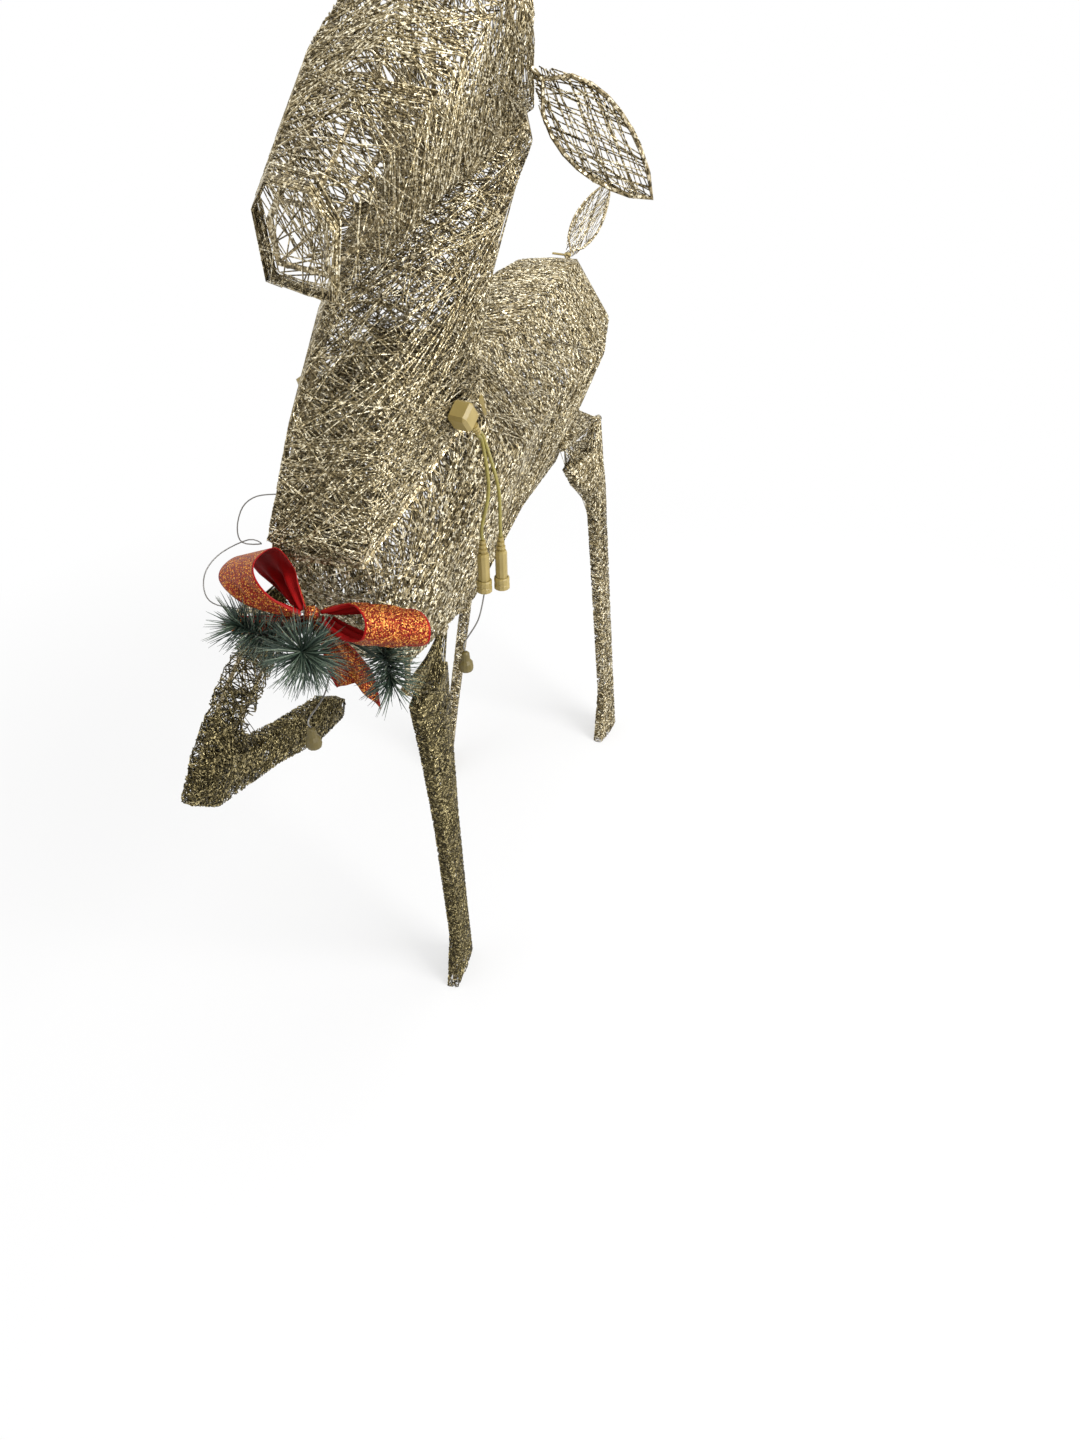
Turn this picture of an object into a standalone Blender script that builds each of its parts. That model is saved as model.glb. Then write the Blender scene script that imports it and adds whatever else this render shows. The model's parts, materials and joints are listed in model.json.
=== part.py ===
"""Light-up yard reindeer: glitter thread wound over welded wire frames, with fold-out legs.

Metres, +Z up. The reindeer faces -Y, its left side is +X, and it stands on the floor at z = 0.
"""

import math
from dataclasses import dataclass, replace

import bmesh
import bpy
from mathutils import Matrix, Vector
from mathutils.bvhtree import BVHTree

# Overall form
BACK_HEIGHT = 0.820
BELLY_HEIGHT = 0.562
HIP_Y = 0.250
WAIST_Y = 0.030
SHOULDER_Y = -0.150
RUMP_LENGTH = 0.215
CHEST_REACH = 0.300
HEAD_TURN = 28.0
CHEST_SHIFT = -0.010

# Wire, thread and fits
ROD = 0.005
THREAD = 0.003
ROD_TO_THREAD = 0.0022
BARE_END = 0.009
HEAD_DRAWN_IN = 0.80
FIT = 0.0006

# Leg hinges: each leg hangs on an arc of wire whose ends turn in two sleeves that stand clear of the
# thread; up is a hinge's height over the belly rail before it is moved clear
SLEEVE_LENGTH = 0.020
SLEEVE_WALL = 0.002
STUB = 0.007
PIN_BEYOND = 0.003
FORE_AHEAD = 0.175
FORE_CLEAR = 0.0030
FORE_HALF_SPAN = 0.042
FORE_SAG = 0.036
FORE_SPLAY = 1.0
RAISED_AHEAD = 0.235
RAISED_UP = 0.046
RAISED_CLEAR = 0.0235
RAISED_HALF_SPAN = 0.030
RAISED_SAG = 0.030
RAISED_SPLAY = 6.0
RAISED_TOE_OUT = -8.0
HIND_BEHIND = 0.015
HIND_UP = 0.030
HIND_CLEAR = 0.0010
HIND_HALF_SPAN = 0.048
HIND_SAG = 0.034
HIND_TOE_OUT = 12.0
HIND_SPLAY = 6.0
STEP_SPLAY = 8.0
HIND_STRIDE = -0.150

# Ears, tail and antlers
EAR_LENGTH = 0.128
EAR_WIDTH = 0.054
EAR_OUT = 0.072
TAIL_LENGTH = 0.150
TAIL_WIDTH = 0.044
LEAF_ROD = 0.004
LEAF_STEM = 0.030
NET_THREAD = 0.0018
TIE_WIDTH = 0.0045
TIE_THICK = 0.0016
TIE_END = 0.026
TIE_HEAD = 0.0058
TAIL_CLEAR = 0.022
ANTLER_REACH = 0.300
ANTLER_SPREAD = 0.130
ANTLER_ROD = 0.0065

# Lights and leads
LAMP_WIRE = 0.0024
LAMP_WIDTH = 0.0060
LAMP_LENGTH = 0.010
BODY_LAMPS = 12
NECK_LAMPS = 8
LEG_LAMPS = 4
BOX_SIDE = 0.021
BOX_EDGE = 0.003
BOX_TURN = 52.0
RELIEF_LENGTH = 0.014
RELIEF_WIDTH = 0.009
RELIEF_PROUD = 0.006
CORD = 0.0036
CORD_GAP = 0.0006
CORD_RUN_OUT = 0.014
TETHER = 0.0016
LEAD_LENGTH = 0.030
LEAD_WIDTH = 0.0125
COLLAR_LENGTH = 0.013
COLLAR_WIDTH = 0.0165
COLLAR_WALL = 0.0016
CAP_LENGTH = 0.023
CAP_WIDTH = 0.0165

# Where the leads hang from the box, cap 1 from its lead, and cap 2 from the knot of the bow
LEAD_1_HANG = (0.013, 0.001, -0.1245)
LEAD_2_HANG = (0.029, 0.011, -0.1240)
CAP_1_HANG = (-0.017, -0.024, -0.1215)
CAP_2_HANG = (-0.0253, 0.0007, -0.1367)
CAP_2_ROOT = (-0.029, 0.0879, -0.0847)
CAP_2_SLACK = 0.024

# Bow: its knot is measured from the low end of the seam, and its face turns and leans back.
# Its loops, tails, sprigs and tie wire are measured from the knot: along the face, up it and out of it.
BOW_KNOT = (0.0053, -0.0367, -0.0303)
BOW_TURN = 14.2
BOW_LEAN = 51.2
KNOT_SIDE = 0.012
KNOT_EDGE = 0.003
RIBBON_WIDTH = 0.058
RIBBON_THICK = 0.0014
LOOP_STEPS = 3
TAIL_STEPS = 2

# Each loop: the way its width runs, then places of its near edge, each with its share of the width
LEFT_LOOP_WAY = (0.86, -0.03, -0.40)
LEFT_LOOP = (
    ((0.007, 0.002, 0.000), 0.20),
    ((0.028, 0.006, 0.012), 0.80),
    ((0.041, 0.004, 0.022), 1.00),
    ((0.052, -0.010, 0.030), 1.00),
    ((0.048, -0.026, 0.026), 1.00),
    ((0.030, -0.025, 0.011), 0.80),
    ((0.0125, -0.0135, 0.002), 0.45),
    ((0.007, -0.004, -0.005), 0.20),
)
RIGHT_LOOP_WAY = (-0.74, 0.0, -0.67)
RIGHT_LOOP = (
    ((-0.007, 0.003, -0.003), 0.20),
    ((-0.012, 0.025, 0.003), 0.60),
    ((-0.015, 0.039, 0.004), 0.95),
    ((-0.028, 0.055, 0.012), 1.00),
    ((-0.042, 0.044, 0.021), 1.00),
    ((-0.043, 0.029, 0.024), 1.00),
    ((-0.031, 0.012, 0.018), 0.80),
    ((-0.008, -0.001, 0.004), 0.20),
)

# Each tail: how far its cut end is notched, or with a minus pointed, then places of its two edges
LEFT_TAIL_NOTCH = 0.016
LEFT_TAIL = (
    ((-0.004, -0.008, -0.010), (0.004, -0.008, -0.010)),
    ((-0.007, -0.022, -0.060), (0.018, -0.022, -0.060)),
    ((-0.009, -0.043, -0.092), (0.036, -0.048, -0.092)),
    ((-0.001, -0.062, -0.100), (0.043, -0.084, -0.100)),
)
RIGHT_TAIL_NOTCH = -0.012
RIGHT_TAIL = (
    ((-0.007, 0.000, -0.012), (-0.007, -0.010, -0.012)),
    ((-0.030, 0.002, -0.044), (-0.030, -0.016, -0.044)),
    ((-0.060, 0.004, -0.056), (-0.060, -0.014, -0.056)),
    ((-0.086, 0.003, -0.052), (-0.086, -0.012, -0.052)),
)
SPRIG_CORE = 0.010
SPRIG_LENGTH = 0.044
NEEDLE = 0.018
NEEDLE_SPACING = 0.0016
SPRIG_STEM = 0.003
STEM_PITCH = 0.0038
SPRIGS = (
    ((-0.006, -0.035, -0.008), (0.0, 0.0, 1.0), 0),
    ((0.058, -0.040, -0.045), (0.25, -0.95, 0.1), 1),
    ((-0.068, -0.014, -0.024), (-0.8, 0.35, 0.3), -1),
)
TIE_WIRE = 0.0012
TIE_WIRE_ROUTE = (
    (-0.045, 0.116, -0.045),
    (-0.063, 0.114, -0.045),
    (-0.076, 0.104, -0.045),
    (-0.081, 0.085, -0.045),
    (-0.078, 0.072, -0.050),
    (-0.062, 0.072, -0.056),
    (-0.076, 0.077, -0.062),
    (-0.098, 0.063, -0.052),
    (-0.110, 0.045, -0.045),
    (-0.112, 0.027, -0.045),
    (-0.105, 0.015, -0.048),
    (-0.085, 0.011, -0.055),
    (-0.045, 0.010, -0.060),
    (-0.012, 0.004, -0.035),
)
CLIP_WIDTH = 0.008
CLIP_REACH = 0.022
CLIP_THICK = 0.004

SPLIT = 3
ALL_FACETS = (0, 1, 2, 3, 4, 5)
MOST_MITRE = 2.5
SEATING_STEPS = 40
SLEEVE_BORE = ROD / 2 + FIT
SLEEVE_RADIUS = SLEEVE_BORE + SLEEVE_WALL
STANDOFF = ROD / 2 + ROD_TO_THREAD
COVER = STANDOFF + THREAD
LAID_ON = COVER + FIT
SEAM_GAP = ROD + 3 * FIT
RIM_TO_THREAD = COVER - ROD / 2


@dataclass(frozen=True)
class Ring:
    """One six-sided section of a wire frame: a spine pair, a widest pair and a belly pair."""

    top: tuple
    low: tuple
    half_top: float
    half_wide: float
    half_low: float
    wide_at: float = 0.68
    turn: float = 0.0

    def side(self):
        """The direction of the reindeer's left across this section."""
        return Vector((math.cos(math.radians(self.turn)), math.sin(math.radians(self.turn)), 0.0))

    def middle(self):
        """The middle of the section."""
        return Vector(self.low).lerp(Vector(self.top), 0.5)

    def points(self):
        """Corners of the section, spine left first."""
        side = self.side()
        top, low = Vector(self.top), Vector(self.low)
        mids = (top, low.lerp(top, self.wide_at), low)
        halves = (self.half_top, self.half_wide, self.half_low)
        left = [mid + side * half for mid, half in zip(mids, halves)]
        right = [mid - side * half for mid, half in zip(mids, halves)]
        return left + right[::-1]

    def up_way(self):
        """Square to the section, upwards."""
        normal = self.side().cross(Vector(self.top) - Vector(self.low)).normalized()
        return normal * math.copysign(1.0, normal.z)

    def moved(self, by):
        """The same section somewhere else."""
        top, low = Vector(self.top) + by, Vector(self.low) + by
        halves = (self.half_top, self.half_wide, self.half_low)
        return Ring(tuple(top), tuple(low), *halves, self.wide_at, self.turn)


def at_hip(behind, over_back):
    """A point of the middle plane, behind the hip ring and over the back line."""
    return (0.0, HIP_Y + behind, BACK_HEIGHT + over_back)


def at_belly(y, over_belly, across=0.0):
    """A point under the body, over the belly line."""
    return (across, y, BELLY_HEIGHT + over_belly)


def at_shoulder(ahead, over_back, across=0.0):
    """A point ahead of the shoulder ring and over the back line."""
    return (across, SHOULDER_Y - ahead, BACK_HEIGHT + over_back)


# Rings of the body, from the tail to the seam where the neck lifts off
TAIL_ROOT = Ring(at_hip(RUMP_LENGTH, -0.023), at_hip(RUMP_LENGTH, -0.085), 0.018, 0.028, 0.018)
RUMP = Ring(at_hip(0.110, -0.005), at_belly(HIP_Y + 0.130, 0.068), 0.040, 0.088, 0.034, 0.62)
HIP = Ring(at_hip(0.0, 0.0), at_belly(HIP_Y, 0.0), 0.044, 0.104, 0.036, 0.64)
WAIST = Ring((0.0, WAIST_Y, BACK_HEIGHT - 0.005), at_belly(WAIST_Y, 0.012), 0.042, 0.088, 0.032)
SHOULDER = Ring(at_shoulder(0.0, 0.010), at_belly(SHOULDER_Y - 0.030, 0.0), 0.044, 0.094, 0.036)
CHEST = Ring(
    at_shoulder(0.030, 0.026), at_belly(SHOULDER_Y - 0.225, 0.033, CHEST_SHIFT), 0.046, 0.090, 0.038
)
SEAM = Ring(
    at_shoulder(0.036, 0.040), at_shoulder(CHEST_REACH, -0.080, CHEST_SHIFT), 0.048, 0.084, 0.042
)

# Rings of the neck, which turns to the reindeer's left as it rises
NECK_LOW = Ring(
    at_shoulder(0.040, 0.105, 0.010), at_shoulder(0.265, 0.025, 0.008), 0.042, 0.075, 0.038, turn=-4
)
NECK_MID = Ring(
    at_shoulder(0.022, 0.180, 0.036), at_shoulder(0.205, 0.115, 0.026), 0.038, 0.066, 0.034, turn=-10
)
NECK_TOP = Ring(
    at_shoulder(-0.012, 0.240, 0.068), at_shoulder(0.094, 0.194, 0.054), 0.034, 0.054, 0.028, turn=-18
)

# Rings of the head, from the poll to the nose
POLL = Ring(
    at_shoulder(0.015, 0.345, 0.080), at_shoulder(0.122, 0.206, 0.060), 0.028, 0.053, 0.028, turn=-24
)
BROW = Ring(
    at_shoulder(0.095, 0.360, 0.060), at_shoulder(0.156, 0.198, 0.046), 0.034, 0.076, 0.034, turn=-HEAD_TURN
)
BRIDGE = Ring(
    at_shoulder(0.195, 0.280, 0.024), at_shoulder(0.214, 0.163, 0.020), 0.034, 0.066, 0.034, turn=-HEAD_TURN
)
NOSE = Ring(
    at_shoulder(0.282, 0.204, 0.010), at_shoulder(0.284, 0.151, 0.008), 0.025, 0.042, 0.035, turn=-HEAD_TURN
)

BODY_RINGS = (TAIL_ROOT, RUMP, HIP, WAIST, SHOULDER, CHEST, SEAM)
NECK_RINGS = (SEAM.moved(SEAM.up_way() * SEAM_GAP), NECK_LOW, NECK_MID, NECK_TOP)
HEAD_RINGS = (NECK_TOP.moved(NECK_TOP.up_way() * SEAM_GAP), POLL, BROW, BRIDGE, NOSE)


# Scene and modelling helpers


def clear_scene():
    """Removes everything the file started with."""
    for obj in list(bpy.data.objects):
        bpy.data.objects.remove(obj, do_unlink=True)


def collection(name):
    """A new collection in the scene."""
    found = bpy.data.collections.new(name)
    bpy.context.scene.collection.children.link(found)
    return found


def material(name, colour, metallic, roughness):
    """A plain Principled material."""
    found = bpy.data.materials.new(name)
    found.use_nodes = True
    shader = found.node_tree.nodes["Principled BSDF"]
    shader.inputs["Base Color"].default_value = (*colour, 1.0)
    shader.inputs["Metallic"].default_value = metallic
    shader.inputs["Roughness"].default_value = roughness
    return found


def node(name, mesh, finish):
    """A piece of the object."""
    obj = bpy.data.objects.new(name, mesh)
    PARTS.objects.link(obj)
    obj.data.materials.clear()
    obj.data.materials.append(FINISHES[finish])
    return obj


def helper(name, mesh):
    """A shape that only cuts or joins."""
    obj = bpy.data.objects.new(name, mesh)
    CUTTERS.objects.link(obj)
    obj.hide_render = True
    obj.display_type = "WIRE"
    return obj


def combine(obj, other, operation):
    """Cuts the other shape from this one, or joins it on."""
    step = obj.modifiers.new(other.name, "BOOLEAN")
    step.operation = operation
    step.object = other
    step.solver = "EXACT"


def surface(rows, cap_first=False, cap_last=False, is_open=None):
    """A surface through rows of points that each go once round, and its vertices row by row.

    Points that coincide become one vertex. A cell is left out where is_open(row, column) says so.
    """
    shape = bmesh.new()
    made = {}
    grid = []
    for row in rows:
        line = []
        for point in row:
            key = tuple(round(c, 6) for c in point)
            if key not in made:
                made[key] = shape.verts.new(point)
            line.append(made[key])
        grid.append(line)
    width = len(rows[0])
    outward = []
    for r, (low, high) in enumerate(zip(grid, grid[1:])):
        middle = sum((v.co for v in low + high), Vector()) / (2 * width)
        for c in range(width):
            if is_open and is_open(r, c):
                continue
            d = (c + 1) % width
            corners = list(dict.fromkeys((low[c], low[d], high[d], high[c])))
            if len(corners) > 2:
                outward.append((shape.faces.new(corners), middle))
    if cap_first:
        shape.faces.new(grid[0][::-1])
    if cap_last:
        shape.faces.new(grid[-1])
    bmesh.ops.recalc_face_normals(shape, faces=shape.faces)
    facing = sum(face.normal.dot(face.calc_center_median() - middle) for face, middle in outward)
    if facing < 0:
        bmesh.ops.reverse_faces(shape, faces=shape.faces)
    return shape, grid


def grown(sections, by, cap_first=False, cap_last=False):
    """The same sections moved out square to the surface that goes through them."""
    shape, grid = surface(sections, cap_first, cap_last)
    shape.normal_update()
    moved = []
    for row in grid:
        moved.append([v.co + v.normal * (by * min(v.calc_shell_factor(), MOST_MITRE)) for v in row])
    shape.free()
    return moved


def drawn_back(sections, cap_first, cap_last):
    """The sections with each open end drawn back along its rails, so that its end ring stays bare."""
    rows = [list(row) for row in sections]
    for end, beside, capped in ((0, 1, cap_first), (-1, -2, cap_last)):
        if not capped:
            rows[end] = [a + (b - a).normalized() * BARE_END for a, b in zip(rows[end], rows[beside])]
    return rows


def loft(sections, along=1, across=1, gaps=(), cap_first=False, cap_last=False):
    """A tube through closed sections of equal count, each bay split along and across.

    The middle cell of every split facet whose number is in gaps is left open.
    """
    count = len(sections[0])
    rows = []
    for section in sections:
        split = []
        for i in range(count):
            for k in range(across):
                split.append(section[i].lerp(section[(i + 1) % count], k / across))
        if rows:
            before = rows[-1]
            for k in range(1, along):
                rows.append([a.lerp(b, k / along) for a, b in zip(before, split)])
        rows.append(split)

    def is_open(r, c):
        middle = r % along == along // 2 and c % across == across // 2
        return middle and c // across in gaps

    shape, _ = surface(rows, cap_first, cap_last, is_open)
    return finished("loft", shape)


def finished(name, shape):
    """A mesh of the shape, which is used up."""
    mesh = bpy.data.meshes.new(name)
    shape.to_mesh(mesh)
    shape.free()
    return mesh


def rods_on(obj, thickness):
    """A round-cornered rod along every edge of the object's mesh."""
    wires = obj.modifiers.new("rods", "WIREFRAME")
    wires.thickness = thickness
    wires.offset = 0.0
    wires.use_boundary = True
    wires.use_even_offset = False
    wires.use_relative_offset = False


def wire_frame(name, rings, cap_first=False, cap_last=False, drawn_in=1.0):
    """Rods along every edge of the cage through these rings, drawn in to this share of their size."""
    sections = [[ring.middle().lerp(point, drawn_in) for point in ring.points()] for ring in rings]
    mesh = loft(sections, cap_first=cap_first, cap_last=cap_last)
    obj = node(name, mesh, "frame_wire")
    rods_on(obj, ROD)
    return obj


def thread_skin(name, sections, gaps, along, across, cap_first=False, cap_last=False):
    """Wound thread over a frame: a thin skin with an open gap in each wide facet."""
    mesh = loft(sections, along, across, gaps, cap_first, cap_last)
    obj = node(name, mesh, "glitter_thread")
    solid = obj.modifiers.new("thread", "SOLIDIFY")
    solid.thickness = THREAD
    solid.offset = -1.0
    solid.use_even_offset = True
    return obj


def wound(name, rings, cap_first=False, cap_last=False):
    """The thread over one section of the body, standing off its wire frame."""
    sections = drawn_back([ring.points() for ring in rings], cap_first, cap_last)
    sections = grown(sections, COVER, cap_first, cap_last)
    return thread_skin(name, sections, ALL_FACETS, SPLIT, SPLIT, cap_first, cap_last)


def envelope(name, rings):
    """The space that a wound section takes up, for pieces that lie against it."""
    sections = grown([ring.points() for ring in rings], LAID_ON, True, True)
    return helper(name, loft(sections, SPLIT, SPLIT, (), True, True))


def skin_tree(rings):
    """The outside of a wound section, to measure distances from."""
    sections = grown([ring.points() for ring in rings], COVER, True, True)
    shape = bmesh.new()
    shape.from_mesh(loft(sections, SPLIT, SPLIT, (), True, True))
    tree = BVHTree.FromBMesh(shape)
    shape.free()
    return tree


def room_beside(tree, point):
    """How far outside a wound section a point lies, negative inside it."""
    spot, normal, _, distance = tree.find_nearest(point)
    return math.copysign(distance, (point - spot).dot(normal))


def tube_mesh(points, radius, resolution=2, cyclic=False, radii=None):
    """A round tube through these points, closed at its ends."""
    curve = bpy.data.curves.new("tube", "CURVE")
    curve.dimensions = "3D"
    curve.bevel_depth = radius
    curve.bevel_resolution = resolution
    curve.use_fill_caps = True
    spline = curve.splines.new("POLY")
    spline.points.add(len(points) - 1)
    for i, point in enumerate(points):
        spline.points[i].co = (*point, 1.0)
        spline.points[i].radius = radii[i] if radii else 1.0
    spline.use_cyclic_u = cyclic
    guide = bpy.data.objects.new("guide", curve)
    CUTTERS.objects.link(guide)
    bpy.context.view_layer.update()
    graph = bpy.context.evaluated_depsgraph_get()
    mesh = bpy.data.meshes.new_from_object(guide.evaluated_get(graph))
    bpy.data.objects.remove(guide, do_unlink=True)
    shape = bmesh.new()
    shape.from_mesh(mesh)
    bmesh.ops.remove_doubles(shape, verts=shape.verts, dist=1e-5)
    bmesh.ops.recalc_face_normals(shape, faces=shape.faces)
    shape.to_mesh(mesh)
    shape.free()
    return mesh


def turned_mesh(profile, start, direction, sides=16):
    """A solid of revolution: (radius, distance along) pairs from the start point."""
    mesh = bpy.data.meshes.new("turned")
    shape = bmesh.new()
    frame = frame_along(start, direction)
    rows = []
    for radius, along in profile:
        row = []
        for k in range(sides):
            angle = 2 * math.pi * k / sides
            row.append(frame @ Vector((radius * math.cos(angle), radius * math.sin(angle), along)))
        rows.append([shape.verts.new(point) for point in row])
    for low, high in zip(rows, rows[1:]):
        for k in range(sides):
            m = (k + 1) % sides
            shape.faces.new((low[k], low[m], high[m], high[k]))
    shape.faces.new(rows[0][::-1])
    shape.faces.new(rows[-1])
    bmesh.ops.recalc_face_normals(shape, faces=shape.faces)
    shape.to_mesh(mesh)
    shape.free()
    return mesh


def rod_mesh(start, end, radius, sides=12):
    """A plain round bar."""
    axis = Vector(end) - Vector(start)
    return turned_mesh([(radius, 0.0), (radius, axis.length)], start, axis, sides)


def box_mesh(frame, size):
    """A box of this size in the given frame."""
    mesh = bpy.data.meshes.new("box")
    shape = bmesh.new()
    bmesh.ops.create_cube(shape, size=1.0, matrix=frame @ Matrix.Diagonal((*size, 1.0)))
    shape.to_mesh(mesh)
    shape.free()
    return mesh


def frame_along(origin, direction, hint=(0.0, 0.0, 1.0)):
    """A frame at the origin whose Z runs along the direction."""
    z = Vector(direction).normalized()
    if abs(z.dot(Vector(hint))) > 0.98:
        hint = (1.0, 0.0, 0.0)
    x = Vector(hint).cross(z).normalized()
    y = z.cross(x)
    basis = Matrix((x, y, z)).transposed().to_4x4()
    return Matrix.Translation(Vector(origin)) @ basis


def bevelled(obj, width):
    """Breaks the object's sharp edges."""
    step = obj.modifiers.new("edges", "BEVEL")
    step.width = width
    step.segments = 1
    step.limit_method = "ANGLE"


def joint_empty(name, origin, pieces):
    """An empty on a joint's axis that carries the pieces that move about it."""
    empty = bpy.data.objects.new(name, None)
    empty.empty_display_size = 0.03
    empty.location = origin
    PARTS.objects.link(empty)
    for piece in pieces:
        piece.parent = empty
        piece.matrix_parent_inverse = Matrix.Translation(-Vector(origin))
    return empty


def centre_over_origin():
    """Moves everything so that the middle of the object's box stands over the origin."""
    bpy.context.view_layer.update()
    graph = bpy.context.evaluated_depsgraph_get()
    corners = []
    for obj in PARTS.objects:
        if obj.type == "MESH":
            placed = obj.evaluated_get(graph)
            corners += [placed.matrix_world @ Vector(corner) for corner in placed.bound_box]
    low = Vector(map(min, zip(*corners)))
    high = Vector(map(max, zip(*corners)))
    root = bpy.data.objects.new("yard_reindeer_root", None)
    root.empty_display_size = 0.1
    root.location = (-(low.x + high.x) / 2, -(low.y + high.y) / 2, 0.0)
    for obj in (*PARTS.objects, *CUTTERS.objects):
        if obj.parent is None:
            obj.parent = root
    PARTS.objects.link(root)


def at_length(rings, share):
    """The section at this share of the way along a row of rings, as (middle, side, up, half width)."""
    place = min(max(share, 0.0), 0.9999) * (len(rings) - 1)
    first, part = rings[int(place)], place - int(place)
    second = rings[int(place) + 1]
    middle = first.middle().lerp(second.middle(), part)
    side = first.side().lerp(second.side(), part).normalized()
    up_first = Vector(first.top) - Vector(first.low)
    up = up_first.lerp(Vector(second.top) - Vector(second.low), part)
    half = first.half_low + (second.half_low - first.half_low) * part
    return middle, side, up, half


def low_rail(y, side):
    """The point of the body's belly rail on this side at this place along the body."""
    corner = 2 if side > 0 else 3
    for first, second in zip(BODY_RINGS, BODY_RINGS[1:]):
        a, b = first.points()[corner], second.points()[corner]
        if min(a.y, b.y) <= y <= max(a.y, b.y):
            return a.lerp(b, (y - a.y) / (b.y - a.y))
    return BODY_RINGS[-1].points()[corner]


# Legs


@dataclass(frozen=True)
class Rung:
    """A cross-bar of a leg's ladder frame, in the leg's own plane: (rearward, downward) pairs.

    Front and rear are its ends, ridge is how far the thread stands out over its middle, and rear_out,
    where given, is the way the thread leaves the rear end.
    """

    front: tuple
    rear: tuple
    ridge: float
    rear_out: tuple = None


@dataclass(frozen=True)
class LegPlan:
    """Where a leg hangs and how it is set."""

    name: str
    side: int
    middle: Vector
    half_span: float
    sag: float
    splay: float
    toe_out: float
    rungs: tuple

    def rear_way(self):
        """The hinge axis, pointing to the rear."""
        angle = math.radians(self.toe_out)
        return Vector((self.side * math.sin(angle), math.cos(angle), 0.0))

    def out_way(self):
        """Level, square to the hinge axis, away from the body."""
        rear = self.rear_way()
        return Vector((rear.y, -rear.x, 0.0)) * self.side

    def down_way(self):
        """Down the leg's plane."""
        angle = math.radians(self.splay)
        return Vector((0, 0, -1)) * math.cos(angle) + self.out_way() * math.sin(angle)

    def face_way(self):
        """Square to the leg's plane, away from the body."""
        angle = math.radians(self.splay)
        return self.out_way() * math.cos(angle) + Vector((0, 0, 1)) * math.sin(angle)

    def hinge(self):
        """The middle of the hinge axis."""
        return Vector(self.middle)

    def place(self, rear, down, face=0.0):
        """A point of the leg's plane in the object's frame."""
        across = self.rear_way() * rear + self.down_way() * down
        return self.hinge() + across + self.face_way() * face

    def sole_down(self, lift):
        """How far down the leg's plane a level this high above the floor lies."""
        return (self.hinge().z - lift) / math.cos(math.radians(self.splay))


def leg_rungs(shape, plan_sag, sole):
    """Rungs of a standing leg from (rearward, downward, half width, ridge) rows and its sole row."""
    rows = [Rung((a - w, d + plan_sag), (a + w, d + plan_sag), ridge) for a, d, w, ridge in shape]
    a, w, ridge = sole
    return (*rows, Rung((a - w, None), (a + w, None), ridge))


FORE_SHAPE = (
    (0.000, 0.000, 0.038, 0.006),
    (0.004, 0.090, 0.029, 0.005),
    (0.006, 0.190, 0.021, 0.004),
    (0.006, 0.235, 0.018, 0.002),
    (0.008, 0.440, 0.014, 0.001),
)
FORE_SOLE = (-0.004, 0.028, 0.002)
HIND_SHAPE = (
    (0.000, 0.000, 0.056, 0.008),
    (0.014, 0.036, 0.044, 0.008),
    (0.038, 0.070, 0.024, 0.006),
    (0.043, 0.112, 0.017, 0.003),
    (0.034, 0.470, 0.014, 0.001),
)
HIND_SOLE = (0.018, 0.028, 0.002)


def strided(shape, sole, stride):
    """A leg's rows with its foot set this far to the rear."""
    deepest = shape[-1][1]
    hock = shape[2][1]
    rows = []
    for a, d, w, ridge in shape:
        rows.append((a + stride * max(0.0, d - hock) / (deepest - hock), d, w, ridge))
    return tuple(rows), (sole[0] + stride * 1.15, *sole[1:])


STEP_SHAPE, STEP_SOLE = strided(HIND_SHAPE, HIND_SOLE, HIND_STRIDE)

KNEE = (-0.112, 0.146)
KNEE_OUT = (1.80, -0.45)
RAISED_RUNGS = (
    Rung((-0.030, RAISED_SAG - 0.003), (0.030, RAISED_SAG + 0.006), 0.006),
    Rung((-0.086, 0.068), (-0.050, 0.104), 0.005),
    Rung((-0.136, 0.119), KNEE, 0.004, KNEE_OUT),
    Rung((-0.160, 0.158), KNEE, 0.004, KNEE_OUT),
    Rung((-0.130, 0.187), KNEE, 0.003, KNEE_OUT),
    Rung((-0.025, 0.212), (-0.015, 0.181), 0.002),
    Rung((0.050, 0.242), (0.066, 0.202), 0.001),
    Rung((0.103, 0.244), (0.107, 0.232), 0.001),
)


def seated(plan, way, clear):
    """The plan with its hinge moved this way until its sleeves stand just clear of the wound body."""
    inner = plan.half_span + ROD / 2 + FIT
    reaches = [end * reach for end in (-1, 1) for reach in (inner, inner + SLEEVE_LENGTH)]
    spots = [plan.rear_way() * reach for reach in reaches]
    middle = plan.middle.copy()
    for _ in range(SEATING_STEPS):
        room = min(room_beside(BODY_SKIN, middle + spot) for spot in spots)
        middle += way * (SLEEVE_RADIUS + clear - room)
    return replace(plan, middle=middle)


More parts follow.
